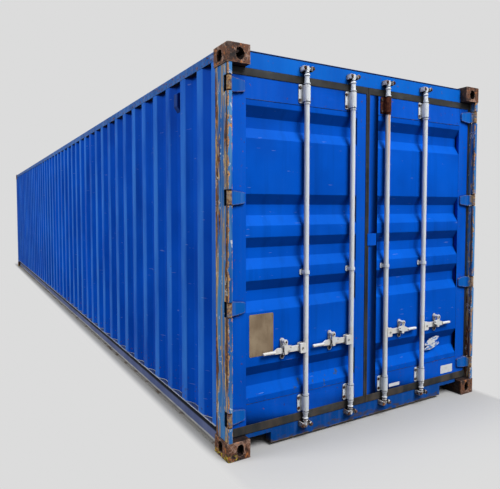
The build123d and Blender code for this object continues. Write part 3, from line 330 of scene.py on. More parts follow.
def sheet_paint(name, deep, fresh, offset, chalk_and_sheen=None, chip_share=0.70):
    """Painted sheet steel: tone changes, runs, scratches and small rusted chips."""
    f = Finish(name)
    f.start(f.spots(0.35, 0.65, 1.6, 3.0, offset=offset), deep, fresh)
    f.coat(f.spots(0.52, 0.75, 14.0, 3.0, (1, 1, 0.06), offset), RUNS_AND_PAINTED_SHADE, 0.20)
    f.coat(f.spots(0.50, 0.80, 3.0, 5.0, offset=offset + 3), CHALK_AND_SHEEN_BLUE, 0.03)
    # on the walls the pale coat on the proud flats is chalked paint and a painted highlight
    if chalk_and_sheen is not None:
        rubbed = f.both(chalk_and_sheen(f), f.spots(0.30, 0.62, 4.0, 6.0, (1, 1, 0.25), offset + 2))
        f.coat(rubbed, CHALK_AND_SHEEN_BLUE, 0.50)
    f.coat(f.spots(0.722, 0.735, 9.0, 2.0, (1, 1, 9), offset + 5), CHALK, 0.25)
    cells = f.add("TexVoronoi", {"Vector": f.place, "Scale": 11.0}).outputs["Distance"]
    few = f.spots(chip_share - 0.12, chip_share - 0.10, 2.3, 2.0, offset=offset + 9)
    low_chips = f.both(f.where("Z", *CHIP_HEIGHT), f.spots(0.62, 0.66, 55.0, 4.0, offset=offset))
    chips = f.either(f.both(f.band(cells, 0.045, 0.025), few), low_chips)
    f.coat(chips, rust_colour(f, offset))
    # painted shade: slopes that look down are darkened towards deep blue
    f.coat(f.facing_up(-0.20, -0.60), RUNS_AND_PAINTED_SHADE, 0.60)
    # painted highlight: slopes that look up are lightened to sky blue
    f.coat(f.facing_up(0.20, 0.60), PAINTED_SKY_HIGHLIGHT, 0.30)
    patch = f.both(f.inside("Y", *SCUFF_SIDE), f.inside("Z", *SCUFF_RANGE), f.where("X", *DOOR_END))
    f.coat(f.both(patch, f.spots(0.610, 0.635, 24.0, 6.0, (1, 1, 0.6), 33.0)), SCUFF, 0.75)
    # painted shade in the nooks, from the corner mask
    f.coat(f.corner(0.05), RUNS_AND_PAINTED_SHADE, 0.50)
    rough = f.plus(f.both(f.noise(5.0, 4.0, offset=offset), 0.22), 0.44)
    rough = f.either(rough, f.both(chips, 0.85))
    dents = f.both(f.noise(2.1, 2.0, offset=offset), 14.0)
    height = f.plus(f.both(f.noise(160.0, 2.0), 0.35), dents)
    height = f.minus(height, f.both(chips, 0.6))
    return f.finish(rough, height, 0.0006, specular=0.03)


def stands_out(f):
    """1 on the parts of the side walls that stand out furthest."""
    return f.band(f.out("Y"), HALF_WIDTH - 0.012, HALF_WIDTH - 0.008)


door_paint = sheet_paint("door_sheet_paint", (0.0002, 0.068, 0.45), (0.0003, 0.094, 0.59), 2.0)
wall_paint = sheet_paint("wall_sheet_paint", (0.0006, 0.052, 0.40), (0.0010, 0.078, 0.54), 7.0,
                         stands_out, 0.66)
roof_paint = sheet_paint("roof_sheet_paint", (0.006, 0.060, 0.26), (0.014, 0.080, 0.32), 12.0, None, 0.60)
print("sheet paints: leaves, walls and roof")

# %% [markdown]
# Structural steel wears otherwise: along its edges, where it was struck, and in long streaks
# below each rusting spot. The edge mask sends rays inward, so it needs solid steel and
# doesn't suit a thin sheet. Each piece names how worn and how rusted it is, so that one
# function finishes the header, which is nearly clean, and the keepers, which are not.

# %% Paint on the structural steel
def worn_steel(name, deep, fresh, offset, wear, rust, reach, pale=CHALK, gloss=0.36, marks=None,
               places=None):
    """Painted bar, tube and plate: washed streaks, rubbed patches, rusted edges and painted shade in the
    nooks.
    """
    f = Finish(name)
    f.start(f.spots(0.36, 0.64, 2.6, 4.0, (1, 1, 0.4), offset), deep, fresh)
    f.coat(f.spots(0.48, 0.72, 30.0, 4.0, (1, 1, 0.04), offset + 1), pale, 0.01 + 0.52 * wear)
    rubbed = f.spots(0.70 - 0.20 * wear, 0.74 - 0.16 * wear, 8.0, 7.0, EVEN, offset + 4, 0.65)
    f.coat(rubbed, pale, 0.25 + 0.5 * wear)
    stains = f.spots(0.68 - 0.12 * rust, 0.80 - 0.10 * rust, 20.0, 4.0, (1, 1, 0.07), offset + 8)
    f.coat(stains, RUST, 0.65 * rust)
    broken = f.spots(0.66 - 0.36 * rust, 0.74 - 0.32 * rust, 42.0, 4.0, EVEN, offset)
    patches = f.spots(0.95 - 0.45 * rust, 0.965 - 0.44 * rust, 6.0, 8.0, (1, 1, 0.7), offset + 6, 0.68)
    rusty = f.either(f.both(f.edge(reach), broken), patches)
    if places is not None:
        places(f)
    if marks is not None:
        rusty = f.either(rusty, marks(f))
    f.coat(rusty, rust_colour(f, offset))
    # painted shade in the nooks
    f.coat(f.corner(0.03), NOOK_SHADE, 0.70)
    rough = f.plus(f.both(f.noise(9.0, 4.0, offset=offset), 0.25), gloss)
    rough = f.either(rough, f.both(rusty, 0.88))
    height = f.plus(f.both(f.noise(120.0, 3.0), 0.5), f.both(f.noise(14.0, 3.0, offset=offset), 2.5))
    height = f.plus(height, f.both(rusty, f.noise(220.0, 3.0), 1.6))
    return f.finish(rough, height, 0.0007, specular=0.06)


# %% [markdown]
# Some marks belong to one place. The keepers and the foot of each bar sit in the spray of the
# road. One guide on the right leaf has lost its paint altogether. These are coats laid by
# position, which the function above calls before the rust goes on.

# %% Marks that belong to one place
SPRAY_HEIGHT = 0.16
GUIDE_RANGE = (2.284, 2.416)
GUIDE_SIDE = (0.120, 0.225)
DRIP_SIDE = (0.166, 0.176)
DRIP_FOOT = 1.75
HANDLE_RANGE = (0.575, 0.730)
HEADER_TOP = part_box("door_header")[1].z
SILL_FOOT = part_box("door_sill")[0].z
KNUCKLE_SIDE = HALF_WIDTH - 0.052
LEDGE = (0.155, 0.160)
WEB_SHADE = (0.086, 0.098)
WEB_TOP = (0.164, 0.162)
WEB_FOOT_LINE = (0.016, 0.032)
FLANGE_TOP = (0.020, 0.017)
RAIL_EDGE = HALF_WIDTH - 0.010
RAIL_CORNER = HALF_WIDTH - 0.038
CREAM = (0.620, 0.560, 0.470)
DRIP = (0.640, 0.300, 0.110)
BARE_GUIDE = ((0.045, 0.014, 0.010), (0.130, 0.042, 0.022))
EDGE_SHADE = (0.002, 0.010, 0.040)
BLACK_SHADE = (0.002, 0.003, 0.006)
TAN_SCRAPE = (0.340, 0.250, 0.160)
TAN_EDGE = (0.420, 0.270, 0.120)
ROAD_DIRT = (0.060, 0.050, 0.045)
PALE_LINE = (0.560, 0.560, 0.530)
PALE_RIM = (0.480, 0.510, 0.560)


def spray_marks(f):
    ragged = f.spots(0.40, 0.58, 40.0, 5.0, offset=17.0)
    return f.both(f.where("Z", SPRAY_HEIGHT + 0.02, SPRAY_HEIGHT - 0.06), ragged)


def gear_places(f):
    """Creamy handles, the bare guide, and the orange drip that runs from it down the bar."""
    handled = f.both(f.inside("Z", *HANDLE_RANGE), f.spots(0.25, 0.75, 20.0, 4.0, offset=2.0))
    f.coat(handled, CREAM, 0.8)
    drip = f.both(f.inside("Y", *DRIP_SIDE, 0.004), f.inside("Z", DRIP_FOOT, GUIDE_RANGE[0], 0.004))
    f.coat(f.both(drip, f.where("Z", DRIP_FOOT, GUIDE_RANGE[0] - 0.05)), DRIP, 0.8)
    bare = f.both(f.inside("Y", *GUIDE_SIDE, 0.002), f.inside("Z", *GUIDE_RANGE, 0.002))
    f.coat(bare, f.mix(f.spots(0.40, 0.66, 40.0, 5.0, offset=3.0), *BARE_GUIDE))


def header_places(f):
    """The upper edge lies in the shade of the roof's end plate."""
    f.coat(f.where("Z", HEADER_TOP - 0.009, HEADER_TOP - 0.007), EDGE_SHADE)


def sill_places(f):
    """The lower edge is scraped to a tan line, and brown marks creep up from it."""
    ragged = f.noise(30.0, 6.0, (1, 0.4, 1), 12.0)
    lip = f.where("Z", SILL_FOOT + 0.007, SILL_FOOT + 0.004)
    f.coat(f.both(lip, f.band(ragged, 0.40, 0.50)), TAN_SCRAPE)
    reach = f.minus(f.axes["Z"], f.both(f.minus(ragged, 0.5), 0.22))
    f.coat(f.band(reach, SILL_FOOT + 0.022, SILL_FOOT), ROAD_DIRT, 0.75)


def hinge_places(f):
    """The knuckles have lost their colour, and every edge of a blade is scraped."""
    washed = f.mix(f.spots(0.50, 0.58, 26.0, 6.0, offset=8.0), (0.040, 0.120, 0.260), (0.250, 0.190, 0.130))
    washed = f.mix(f.spots(0.56, 0.60, 34.0, 6.0, offset=28.0), washed, RUST)
    f.coat(f.band(f.out("Y"), KNUCKLE_SIDE, KNUCKLE_SIDE + 0.008), washed)
    rim = f.both(f.edge(0.013), f.spots(0.34, 0.46, 34.0, 5.0, offset=14.0))
    f.coat(rim, f.mix(f.spots(0.45, 0.60, 60.0, 3.0), TAN_EDGE, RUST))


def rail_places(f):
    """A pale worn edge on the ledge and the foot, and painted shadow, black, on the web under the ledge."""
    ragged = f.spots(0.30, 0.60, 30.0, 5.0, (0.3, 1, 1), 7.0)
    # painted shadow: a black band on the web just under the ledge
    under = f.both(f.band(f.out("Y"), RAIL_EDGE, RAIL_EDGE - 0.010), f.where("Z", *WEB_SHADE))
    f.coat(f.both(under, f.where("Z", *WEB_TOP)), (0.003, 0.004, 0.008))
    ledge = f.where("Z", *LEDGE)
    f.coat(ledge, (0.020, 0.045, 0.140), 0.75)
    web = f.band(f.out("Y"), RAIL_CORNER, RAIL_CORNER - 0.004)
    line = f.both(f.inside("Z", *WEB_FOOT_LINE, 0.003), web)
    f.coat(line, PALE_LINE, f.plus(f.both(ragged, 0.4), 0.5))
    rim = f.both(f.band(f.out("Y"), RAIL_EDGE + 0.001, RAIL_EDGE + 0.005), ledge)
    f.coat(rim, PALE_RIM, f.plus(f.both(ragged, 0.5), 0.4))
    flange = f.mix(f.spots(0.54, 0.60, 9.0, 6.0, offset=3.0), (0.230, 0.220, 0.205), (0.080, 0.055, 0.035))
    flange = f.mix(f.both(ragged, 0.20), flange, (0.420, 0.410, 0.390))
    f.coat(f.where("Z", *FLANGE_TOP), flange)


def under_rail(f):
    """Black on what faces down, where no light comes up from the ground."""
    f.coat(f.facing_up(-0.40, -0.80), BLACK_SHADE)


# %% [markdown]
# The rear posts take every knock and all the water that runs off the roof. Their blue has
# washed out, tan streaks run down them, brown rust eats in from the wall side and beside the
# hinge notches, and ochre flecks break through on the narrow front face. Each of these is a
# coat of its own: first the washed paint, then the streaks, then the rust, and last the thin
# pale scratches.

# %% Finish of the rear posts
TAN = (0.300, 0.215, 0.120)
OCHRE = (0.560, 0.370, 0.140)
ORANGE = (0.620, 0.260, 0.050)
WASHED = (0.170, 0.350, 0.530)
FOLD_DIRT = (0.030, 0.019, 0.014)
SCRATCH = (0.620, 0.640, 0.650)
POST_FRONT = HALF_LENGTH - 0.012
POST_BACK = HALF_LENGTH - 0.168
FRONT_STRIP = HALF_WIDTH - 0.022


def post_skin():
    f = Finish("post_skin")
    f.start(f.spots(0.36, 0.64, 7.0, 5.0, (1, 1, 0.2), 6.0), (0.006, 0.090, 0.340), (0.055, 0.240, 0.540))
    f.coat(f.spots(0.48, 0.60, 60.0, 6.0, (1, 1, 0.04), 7.0), WASHED, 0.34)
    ragged = f.both(f.minus(f.noise(14.0, 5.0, (1, 1, 0.25), 5.0), 0.5), 0.09)
    place = f.plus(f.axes["X"], ragged)
    wall_side = f.band(place, POST_BACK + 0.060, POST_BACK + 0.020)
    low = f.plus(f.both(f.where("Z", 1.5, 1.1), 0.5), 0.5)
    lip_side = f.both(f.band(place, POST_FRONT - 0.048, POST_FRONT - 0.034), low)
    upper = f.both(f.where("Z", 1.9, 2.45), 0.5)
    more = f.minus(f.both(f.either(wall_side, lip_side, upper), 0.12), 0.015)
    side_face = f.where("X", POST_FRONT, POST_FRONT - 0.008)
    streaks = f.plus(f.noise(38.0, 6.0, (1, 1, 0.05), 9.0, 0.6), more)
    f.coat(f.both(f.band(streaks, 0.535, 0.575), side_face), TAN, 0.85)
    flakes = f.plus(f.noise(44.0, 8.0, (1, 1, 0.20), 31.0, 0.70), more)
    flaked = f.both(f.band(flakes, 0.600, 0.615), side_face)
    f.coat(flaked, OCHRE, 0.9)
    brown = f.plus(f.noise(22.0, 7.0, (1, 1, 0.08), 21.0, 0.62), f.both(more, 1.25))
    rusty = f.both(f.band(brown, 0.600, 0.620), side_face)
    deep = f.mix(f.spots(0.40, 0.62, 60.0, 4.0, (1, 1, 0.3), 3.0), RUST_DARK, RUST)
    f.coat(rusty, f.mix(f.spots(0.58, 0.66, 34.0, 3.0, offset=8.0), deep, RUST_BRIGHT))
    front = f.where("X", POST_FRONT - 0.004, POST_FRONT)
    from_middle = math_node(f.tree, "ABSOLUTE", f.minus(f.out("Y"), FRONT_STRIP))
    near_edge = f.both(f.band(from_middle, 0.007, 0.014), 0.14)
    flecks = f.plus(f.noise(34.0, 6.0, (1, 1, 0.42), 13.0, 0.66), near_edge)
    flecked = f.both(front, f.band(flecks, 0.600, 0.615))
    fleck = f.mix(f.spots(0.40, 0.55, 60.0, 3.0, offset=5.0), OCHRE, ORANGE)
    fleck = f.mix(f.spots(0.54, 0.64, 90.0, 3.0), fleck, RUST_DARK)
    f.coat(flecked, fleck, 0.9)
    fold = f.both(f.where("X", POST_FRONT - 0.016, POST_FRONT - 0.010),
                  f.where("X", POST_FRONT + 0.003, POST_FRONT - 0.003))
    f.coat(f.both(fold, f.spots(0.36, 0.52, 20.0, 6.0, (1, 1, 0.15), 44.0)), FOLD_DIRT, 0.85)
    line = f.noise(26.0, 2.0, (1, 1, 0.5), 15.0)
    f.coat(f.both(f.band(line, 0.655, 0.662), f.band(line, 0.685, 0.678)), SCRATCH, 0.9)
    # painted shade in the nooks
    f.coat(f.corner(0.03), NOOK_SHADE, 0.7)
    worn = f.either(rusty, flaked, flecked)
    height = f.minus(f.both(f.noise(90.0, 4.0), 1.2), f.both(worn, 1.6))
    return f.finish(f.plus(f.both(f.noise(9.0, 4.0), 0.25), 0.48), height, 0.0010)


# %% [markdown]
# A corner casting is poured, not pressed, and it is struck and dragged all its life. Its
# skin is grainy. Patches of dark old rust, dull red, pale primer and bare grey lie next to
# each other, the edges are rubbed pale, and the insides of the holes get painted shade,
# nearly black. The near casting at the foot has a few specks of yellow that rubbed off
# something else.

# %% Finish of the castings
CAST_WALL = (0.004, 0.0125)
PRIMER = (0.430, 0.280, 0.215)
FRESH_RUST = (0.420, 0.150, 0.045)
BARE_CAST = (0.014, 0.013, 0.014)
RUBBED_CAST = (0.520, 0.380, 0.300)
YELLOW = (0.560, 0.430, 0.030)
PAINTED_HOLE_SHADE = (0.006, 0.006, 0.008)


def casting_finish():
    f = Finish("casting_skin")
    grain = f.noise(26.0, 9.0, offset=4.0, roughness=0.72)
    f.start(f.band(grain, 0.42, 0.50), (0.024, 0.014, 0.011), (0.135, 0.060, 0.036))
    f.coat(f.spots(0.545, 0.560, 24.0, 9.0, (1, 1, 0.7), 11.0, 0.74), PRIMER, 0.62)
    f.coat(f.spots(0.575, 0.590, 30.0, 8.0, EVEN, 19.0, 0.70), FRESH_RUST, 0.85)
    f.coat(f.spots(0.545, 0.570, 15.0, 9.0, EVEN, 27.0, 0.70), BARE_CAST, 0.75)
    f.coat(f.both(f.edge(0.012), f.spots(0.42, 0.55, 30.0, 5.0, offset=6.0)), RUBBED_CAST, 0.8)
    foot = f.both(f.where("Z", 0.045, 0.025), f.where("Y", -1.15, -1.16))
    f.coat(f.both(foot, f.spots(0.53, 0.56, 55.0, 5.0, offset=41.0)), YELLOW)
    sunk = math_node(f.tree, "MINIMUM", f.minus(HALF_LENGTH, f.out("X")),
                     f.minus(HALF_WIDTH, f.out("Y")))
    # painted shade: the insides of the casting's holes are darkened nearly black
    f.coat(f.band(sunk, *CAST_WALL), PAINTED_HOLE_SHADE, 0.85)
    # painted shade in the nooks
    f.coat(f.corner(0.04), NOOK_SHADE, 0.7)
    height = f.plus(f.noise(150.0, 4.0), f.both(grain, 4.0))
    return f.finish(f.plus(f.both(grain, 0.3), 0.50), height, 0.0014)


# %% [markdown]
# The table below gives each steel finish its two tones, the offset of its noises, how worn
# and how rusted it is, and how far the edge mask reaches. The rest is named where it differs.

# %% Finishes of the frame and the gear
STEELS = (
    ("leaf_frame_paint", (0.0002, 0.070, 0.46), (0.0003, 0.096, 0.59), 3.0, 0.0, 0.0, 0.006, {}),
    ("header_paint", (0.0005, 0.100, 0.50), (0.001, 0.130, 0.59), 4.0, 0.0, 0.0, 0.006,
     {"gloss": 0.40, "places": header_places}),
    ("sill_paint", (0.001, 0.045, 0.210), (0.002, 0.072, 0.330), 5.0, 0.08, 0.50, 0.006,
     {"gloss": 0.40, "places": sill_places}),
    ("post_channel_paint", (0.004, 0.030, 0.080), (0.010, 0.050, 0.120), 8.0, 0.10, 0.62, 0.006, {}),
    ("hinge_paint", (0.001, 0.075, 0.380), (0.003, 0.115, 0.470), 9.0, 0.15, 0.30, 0.006,
     {"gloss": 0.40, "places": hinge_places}),
    ("lug_paint", (0.180, 0.085, 0.040), (0.320, 0.190, 0.085), 10.0, 0.20, 0.90, 0.010, {}),
    ("rail_paint", (0.078, 0.104, 0.230), (0.125, 0.152, 0.290), 11.0, 0.18, 0.36, 0.004,
     {"pale": (0.260, 0.300, 0.380), "gloss": 0.46, "places": rail_places}),
    ("front_and_top_paint", (0.014, 0.095, 0.350), (0.040, 0.150, 0.460), 12.0, 0.30, 0.35, 0.006,
     {"gloss": 0.46, "places": under_rail}),
    ("gear_paint", (0.620, 0.665, 0.720), (0.720, 0.750, 0.780), 13.0, 0.10, 0.28, 0.006,
     {"pale": (0.680, 0.670, 0.630), "marks": spray_marks, "gloss": 0.40, "places": gear_places}),
    ("keeper_paint", (0.480, 0.510, 0.540), (0.620, 0.640, 0.660), 14.0, 0.20, 0.66, 0.010,
     {"pale": (0.680, 0.690, 0.690), "marks": spray_marks}),
    ("underframe_paint", (0.020, 0.022, 0.026), (0.045, 0.048, 0.054), 16.0, 0.20, 0.70, 0.006, {}),
    ("vent_paint", (0.001, 0.026, 0.160), (0.002, 0.040, 0.230), 17.0, 0.10, 0.10, 0.006, {}),
    ("weld_paint", (0.120, 0.170, 0.320), (0.340, 0.390, 0.480), 18.0, 0.60, 0.45, 0.002, {}),
    ("seam_paint", (0.004, 0.018, 0.070), (0.010, 0.040, 0.150), 20.0, 0.20, 0.75, 0.002, {}),
    ("bolt_skin", (0.075, 0.055, 0.045), (0.130, 0.105, 0.090), 19.0, 0.20, 0.95, 0.004, {}))
finishes = {name: worn_steel(name, *row, **more) for name, *row, more in STEELS}
finishes["post_skin"] = post_skin()
finishes["casting_skin"] = casting_finish()
finishes["roof_sheet_paint"] = roof_paint
print("steel finishes:", len(finishes))


# %% [markdown]
# The seals are a soft black rubber that has greyed. It has no edge wear: it has a bloom of
# pale dust, brown stains that grow towards the foot, and a slow change of tone. The boards are
# brown ply with the grain along the floor, scored by fork trucks. The plate is a bare sheet of
# tan metal, a little stained.

# %% Rubber, boards and plate
def seal_rubber():
    f = Finish("seal_rubber")
    f.start(f.spots(0.35, 0.68, 5.0, 5.0, offset=2.0), (0.014, 0.015, 0.016), (0.040, 0.042, 0.043))
    stains = f.spots(0.42, 0.62, 22.0, 4.0, (0.4, 0.4, 0.15), 4.0)
    f.coat(stains, (0.095, 0.070, 0.052), f.plus(f.both(f.where("Z", 0.5, 0.15), 0.40), 0.1))
    f.coat(f.spots(0.55, 0.75, 16.0, 6.0, (0.3, 0.3, 1), 3.0), (0.220, 0.240, 0.250), 0.14)
    rough = f.plus(f.both(f.noise(30.0, 3.0), 0.25), 0.38)
    height = f.plus(f.both(f.noise(90.0, 3.0), 0.8), f.both(f.noise(7.0, 3.0), 4.0))
    return f.finish(rough, height, 0.0008)


def floor_boards():
    f = Finish("floor_ply")
    grain = f.noise(60.0, 6.0, (0.04, 1, 1), 1.0, 0.6)
    f.start(f.band(grain, 0.35, 0.70), (0.100, 0.042, 0.022), (0.260, 0.135, 0.070))
    f.coat(f.spots(0.50, 0.70, 3.0, 6.0, (0.4, 1, 1), 8.0), (0.300, 0.235, 0.180), 0.45)
    scored = f.spots(0.70, 0.73, 12.0, 2.0, (0.05, 3, 1), 3.0)
    f.coat(scored, (0.050, 0.030, 0.020), 0.6)
    return f.finish(f.plus(f.both(grain, 0.3), 0.45), f.minus(f.both(grain, 0.8), scored), 0.0012)


def plate_metal():
    f = Finish("data_plate_metal")
    f.start(f.spots(0.35, 0.70, 9.0, 5.0, offset=1.0), (0.215, 0.155, 0.100), (0.330, 0.255, 0.170))
    f.coat(f.spots(0.56, 0.70, 24.0, 5.0, (1, 1, 0.25), 6.0), (0.120, 0.070, 0.040), 0.55)
    rough = f.plus(f.both(f.noise(40.0, 3.0), 0.3), 0.34)
    return f.finish(rough, f.noise(70.0, 4.0), 0.0004, metallic=0.25)


def sticker_film(name, torn=0.0):
    """White film. Where it is torn, the blue below shows through the glue."""
    f = Finish(name)
    dirt = f.both(f.spots(0.50, 0.72, 35.0, 5.0, offset=2.0), 0.35)
    f.start(dirt, (0.640, 0.660, 0.690), (0.340, 0.360, 0.380))
    holes = f.spots(0.60 - 0.08 * torn, 0.64 - 0.08 * torn, 60.0, 6.0, (1, 0.4, 1), 5.0)
    f.coat(f.both(holes, torn), (0.060, 0.200, 0.560))
    return f.finish(0.42, f.noise(120.0, 2.0), 0.0002)


finishes["seal_rubber"] = seal_rubber()
finishes["floor_ply"] = floor_boards()
plate_finish = plate_metal()
film = sticker_film("sticker_film")
torn_film = sticker_film("torn_film", 1.0)
print("other finishes: rubber, ply, plate, film")

# %% [markdown]
# A model from CAD has mathematically sharp edges, and no steel does. Rolled, folded and
# flame-cut edges all have a small radius that catches the light. So a copy of each node is
# merged, its coplanar triangles are dissolved into plain faces, and a Bevel modifier rounds
# what is left, with weighted normals so that the flats stay flat. The copy stands for the
# node, which keeps its place in the motion model. Four nodes whose edges hardly show keep
# their own shape and only get a finish in their slots.

# %% Round the edges of a node
MERGE = 1e-5
FLAT_ANGLE = math.radians(1.0)
SHARP_ANGLE = math.radians(33.0)
BODY_OF = {node: body for body, nodes in frame["record"]["behaviour"]["bodies"].items() for node in nodes}


def node_copy(node):
    """The node's surface as merged faces, without the triangles that lie in one plane."""
    shape = bmesh.new()
    shape.from_mesh(NODES[node].data)
    bmesh.ops.remove_doubles(shape, verts=shape.verts, dist=MERGE)
    bmesh.ops.dissolve_limit(shape, angle_limit=FLAT_ANGLE, verts=shape.verts, edges=shape.edges)
    return shape


def link_piece(name, shape, finish):
    """A new object from mesh-editing data, at the origin, with its finish."""
    mesh = bpy.data.meshes.new(name)
    shape.to_mesh(mesh)
    shape.free()
    mesh.materials.append(finish)
    return link(name, mesh)


def bevel(piece, width, angle, segments=2):
    put(piece.modifiers.new("rounding", "BEVEL"), width=width, segments=segments, limit_method="ANGLE",
        angle_limit=angle)


def thicken(piece, thickness, offset):
    put(piece.modifiers.new("thickness", "SOLIDIFY"), thickness=thickness, offset=offset)


def settle(piece, body, nodes=()):
    """Turn what the modifiers make into a plain mesh, and hand the piece to the frame."""
    graph = bpy.context.evaluated_depsgraph_get()
    plain = bpy.data.meshes.new_from_object(piece.evaluated_get(graph), preserve_all_data_layers=True,
                                            depsgraph=graph)
    plain.name = piece.name
    piece.modifiers.clear()
    piece.data = plain
    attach(piece, body)
    if nodes:
        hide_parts(*nodes)
    return piece


def dress(node, finish, rounding, segments=2):
    """The node again, with its edges rounded by some millimetres, and a finish."""
    piece = link_piece(node + "_dressed", node_copy(node), finishes[finish])
    piece.data.shade_smooth()
    bevel(piece, rounding * MM, SHARP_ANGLE, segments)
    piece.modifiers.new("flats", "WEIGHTED_NORMAL").keep_sharp = True
    settle(piece, BODY_OF[node], (node,))


ROUNDED = (
    ("bottom_corner_castings", "casting_skin", 5.0), ("top_corner_castings", "casting_skin", 5.0),
    ("rear_corner_posts", "post_skin", 1.6), ("rear_post_channels", "post_channel_paint", 2.0),
    ("hinge_lugs", "lug_paint", 1.5), ("door_header", "header_paint", 1.8), ("door_sill", "sill_paint", 2.0),
    ("front_corner_posts", "front_and_top_paint", 2.5), ("front_header", "front_and_top_paint", 1.4),
    ("front_sill", "front_and_top_paint", 1.8), ("left_bottom_rail", "rail_paint", 1.6),
    ("right_bottom_rail", "rail_paint", 1.6), ("left_top_rail", "front_and_top_paint", 1.4),
    ("right_top_rail", "front_and_top_paint", 1.4), ("roof_end_plates", "roof_sheet_paint", 1.0),
    ("vent_covers", "vent_paint", 4.0), ("cam_keepers", "keeper_paint", 2.0),
    ("gooseneck_tunnel", "underframe_paint", 1.0))
ON_EACH_LEAF = (
    ("door_frame", "leaf_frame_paint", 1.5, 2), ("door_gasket", "seal_rubber", 2.4, 3),
    ("hinge_blades", "hinge_paint", 2.5, 2), ("bar_brackets", "gear_paint", 1.6, 2),
    ("handle_retainers", "gear_paint", 1.6, 2))
ON_EACH_BAR = (("locking_bar", 1.2), ("handle", 2.4), ("catch", 1.4))
AS_PACKED = (("hinge_pins", "bolt_skin"), ("cross_members", "underframe_paint"),
             ("tunnel_outriggers", "underframe_paint"), ("floor_panels", "floor_ply"))
SIGN = {"left": -1, "right": 1}
PLACES = ("outer", "inner")

for row in ROUNDED:
    dress(*row)
for side in SIGN:
    for kind, *row in ON_EACH_LEAF:
        dress(side + "_" + kind, *row)
    for place in PLACES:
        for kind, rounding in ON_EACH_BAR:
            dress("_".join((side, place, kind)), "gear_paint", rounding)
dress("centre_cover_plate", "leaf_frame_paint", 1.6)
for node, finish in AS_PACKED:
    for place in NODES[node].material_slots:
        place.material = finishes[finish]
dressed = [piece for piece in bpy.data.objects if piece.name.endswith("_dressed")]
print("rounded the edges of", len(dressed), "nodes")

# %% [markdown]
# The walls, the front and the door panels are pressed from one sheet each, by a rule: flat,
# slope, flat, slope. A press can't fold a sharp corner, so every bend has a radius. That is a
# path with filleted corners, pulled along one direction, and Geometry Nodes says exactly
# that: mesh to curve, Fillet Curve, back to a line, Extrude. The Solidify modifier then gives
# the sheet its 2 mm. A small class wires the trees, as the one above wires materials.

# %% A helper that wires Geometry Nodes trees
class Recipe:
    """One Geometry Nodes tree while it is being wired. Its sizes are named inputs."""

    def __init__(self, name, sizes):
        self.tree = bpy.data.node_groups.new(name, "GeometryNodeTree")
        face = self.tree.interface
        face.new_socket("Geometry", in_out="INPUT", socket_type="NodeSocketGeometry")
        for label, kind in sizes.items():
            face.new_socket(label, in_out="INPUT", socket_type="NodeSocket" + kind)
        face.new_socket("Geometry", in_out="OUTPUT", socket_type="NodeSocketGeometry")
        self.given = self.tree.nodes.new("NodeGroupInput").outputs

    def add(self, kind, inputs=None, **settings):
        return add_node(self.tree, kind, inputs, **settings).outputs

    def geo(self, kind, inputs=None, **settings):
        """The first output of a new Geometry node."""
        return self.add("GeometryNode" + kind, inputs, **settings)[0]

    def times(self, a, b):
        return math_node(self.tree, "MULTIPLY", a, b)

    def close(self, geometry):
        real = self.geo("RealizeInstances", {"Geometry": geometry})
        painted = self.geo("SetMaterial", {"Geometry": real, "Material": self.given["Finish"]})
        self.add("NodeGroupOutput", {0: painted})
        return self


def run_recipe(name, recipe, points, edges, sizes):
    """An object with the tree as its modifier, over a mesh of points and edges."""
    mesh = bpy.data.meshes.new(name + "_path")
    mesh.from_pydata(points, edges, [])
    piece = link(name, mesh)
    modifier = put(piece.modifiers.new("recipe", "NODES"), node_group=recipe.tree)
    for item in recipe.tree.interface.items_tree:
        if item.in_out == "INPUT" and item.name in sizes:
            modifier[item.identifier] = sizes[item.name]
    return piece


def chain(points):
    return [(i, i + 1) for i in range(len(points) - 1)]


# %% The tree for a pressed sheet
def pressed_sheet_recipe():
    r = Recipe("pressed_sheet", {"Bend Radius": "Float", "Rise": "Vector", "Finish": "Material"})
    path = r.geo("MeshToCurve", {"Mesh": r.given["Geometry"]})
    bends = r.geo("FilletCurve", {"Curve": path, "Count": 3, "Radius": r.given["Bend Radius"],
                                  "Limit Radius": True}, mode="POLY")
    line = r.geo("CurveToMesh", {"Curve": bends})
    sheet = r.geo("ExtrudeMesh", {"Mesh": line, "Offset": r.given["Rise"]}, mode="EDGES")
    smooth = r.geo("SetShadeSmooth", {"Geometry": sheet})
    return r.close(smooth)


SHEET = 2.0 * MM
pressed_sheet = pressed_sheet_recipe()


def press(name, line, rise, bend, finish, node):
    """A pressed sheet along a line at its middle thickness, which stands for a node."""
    sizes = {"Bend Radius": bend * MM, "Rise": rise, "Finish": finish}
    piece = run_recipe(name, pressed_sheet, line, chain(line), sizes)
    thicken(piece, SHEET, 0.0)
    settle(piece, BODY_OF[node], (node,))
    piece.data.set_sharp_from_angle(angle=SHARP_ANGLE)
    print(name, len(piece.data.polygons), "faces")


# %% [markdown]
# A side wall begins with a flat at the rear post, steps in once, and then repeats every
# 278 mm to the front post: 72 mm out, 68 mm of slope, 70 mm in, 68 mm of slope. The line is
# worked out once, and the same line at the foot carries the weld to the bottom rail later.

# %% Side walls
WALL_PITCH = 278.0 * MM
WALL_SLOPE = 68.0 * MM
WALL_OUT_FLAT = 72.0 * MM
WALL_IN_FLAT = 70.0 * MM
WALL_DEPTH = 36.0 * MM
WALL_FIRST_FLAT = 358.0 * MM
WALL_END_FLAT = 54.0 * MM
WALL_BEND = 11.0
wall_low, wall_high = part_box("left_side_wall")
wall_out = wall_low.y + SHEET / 2
wall_in = wall_out + WALL_DEPTH


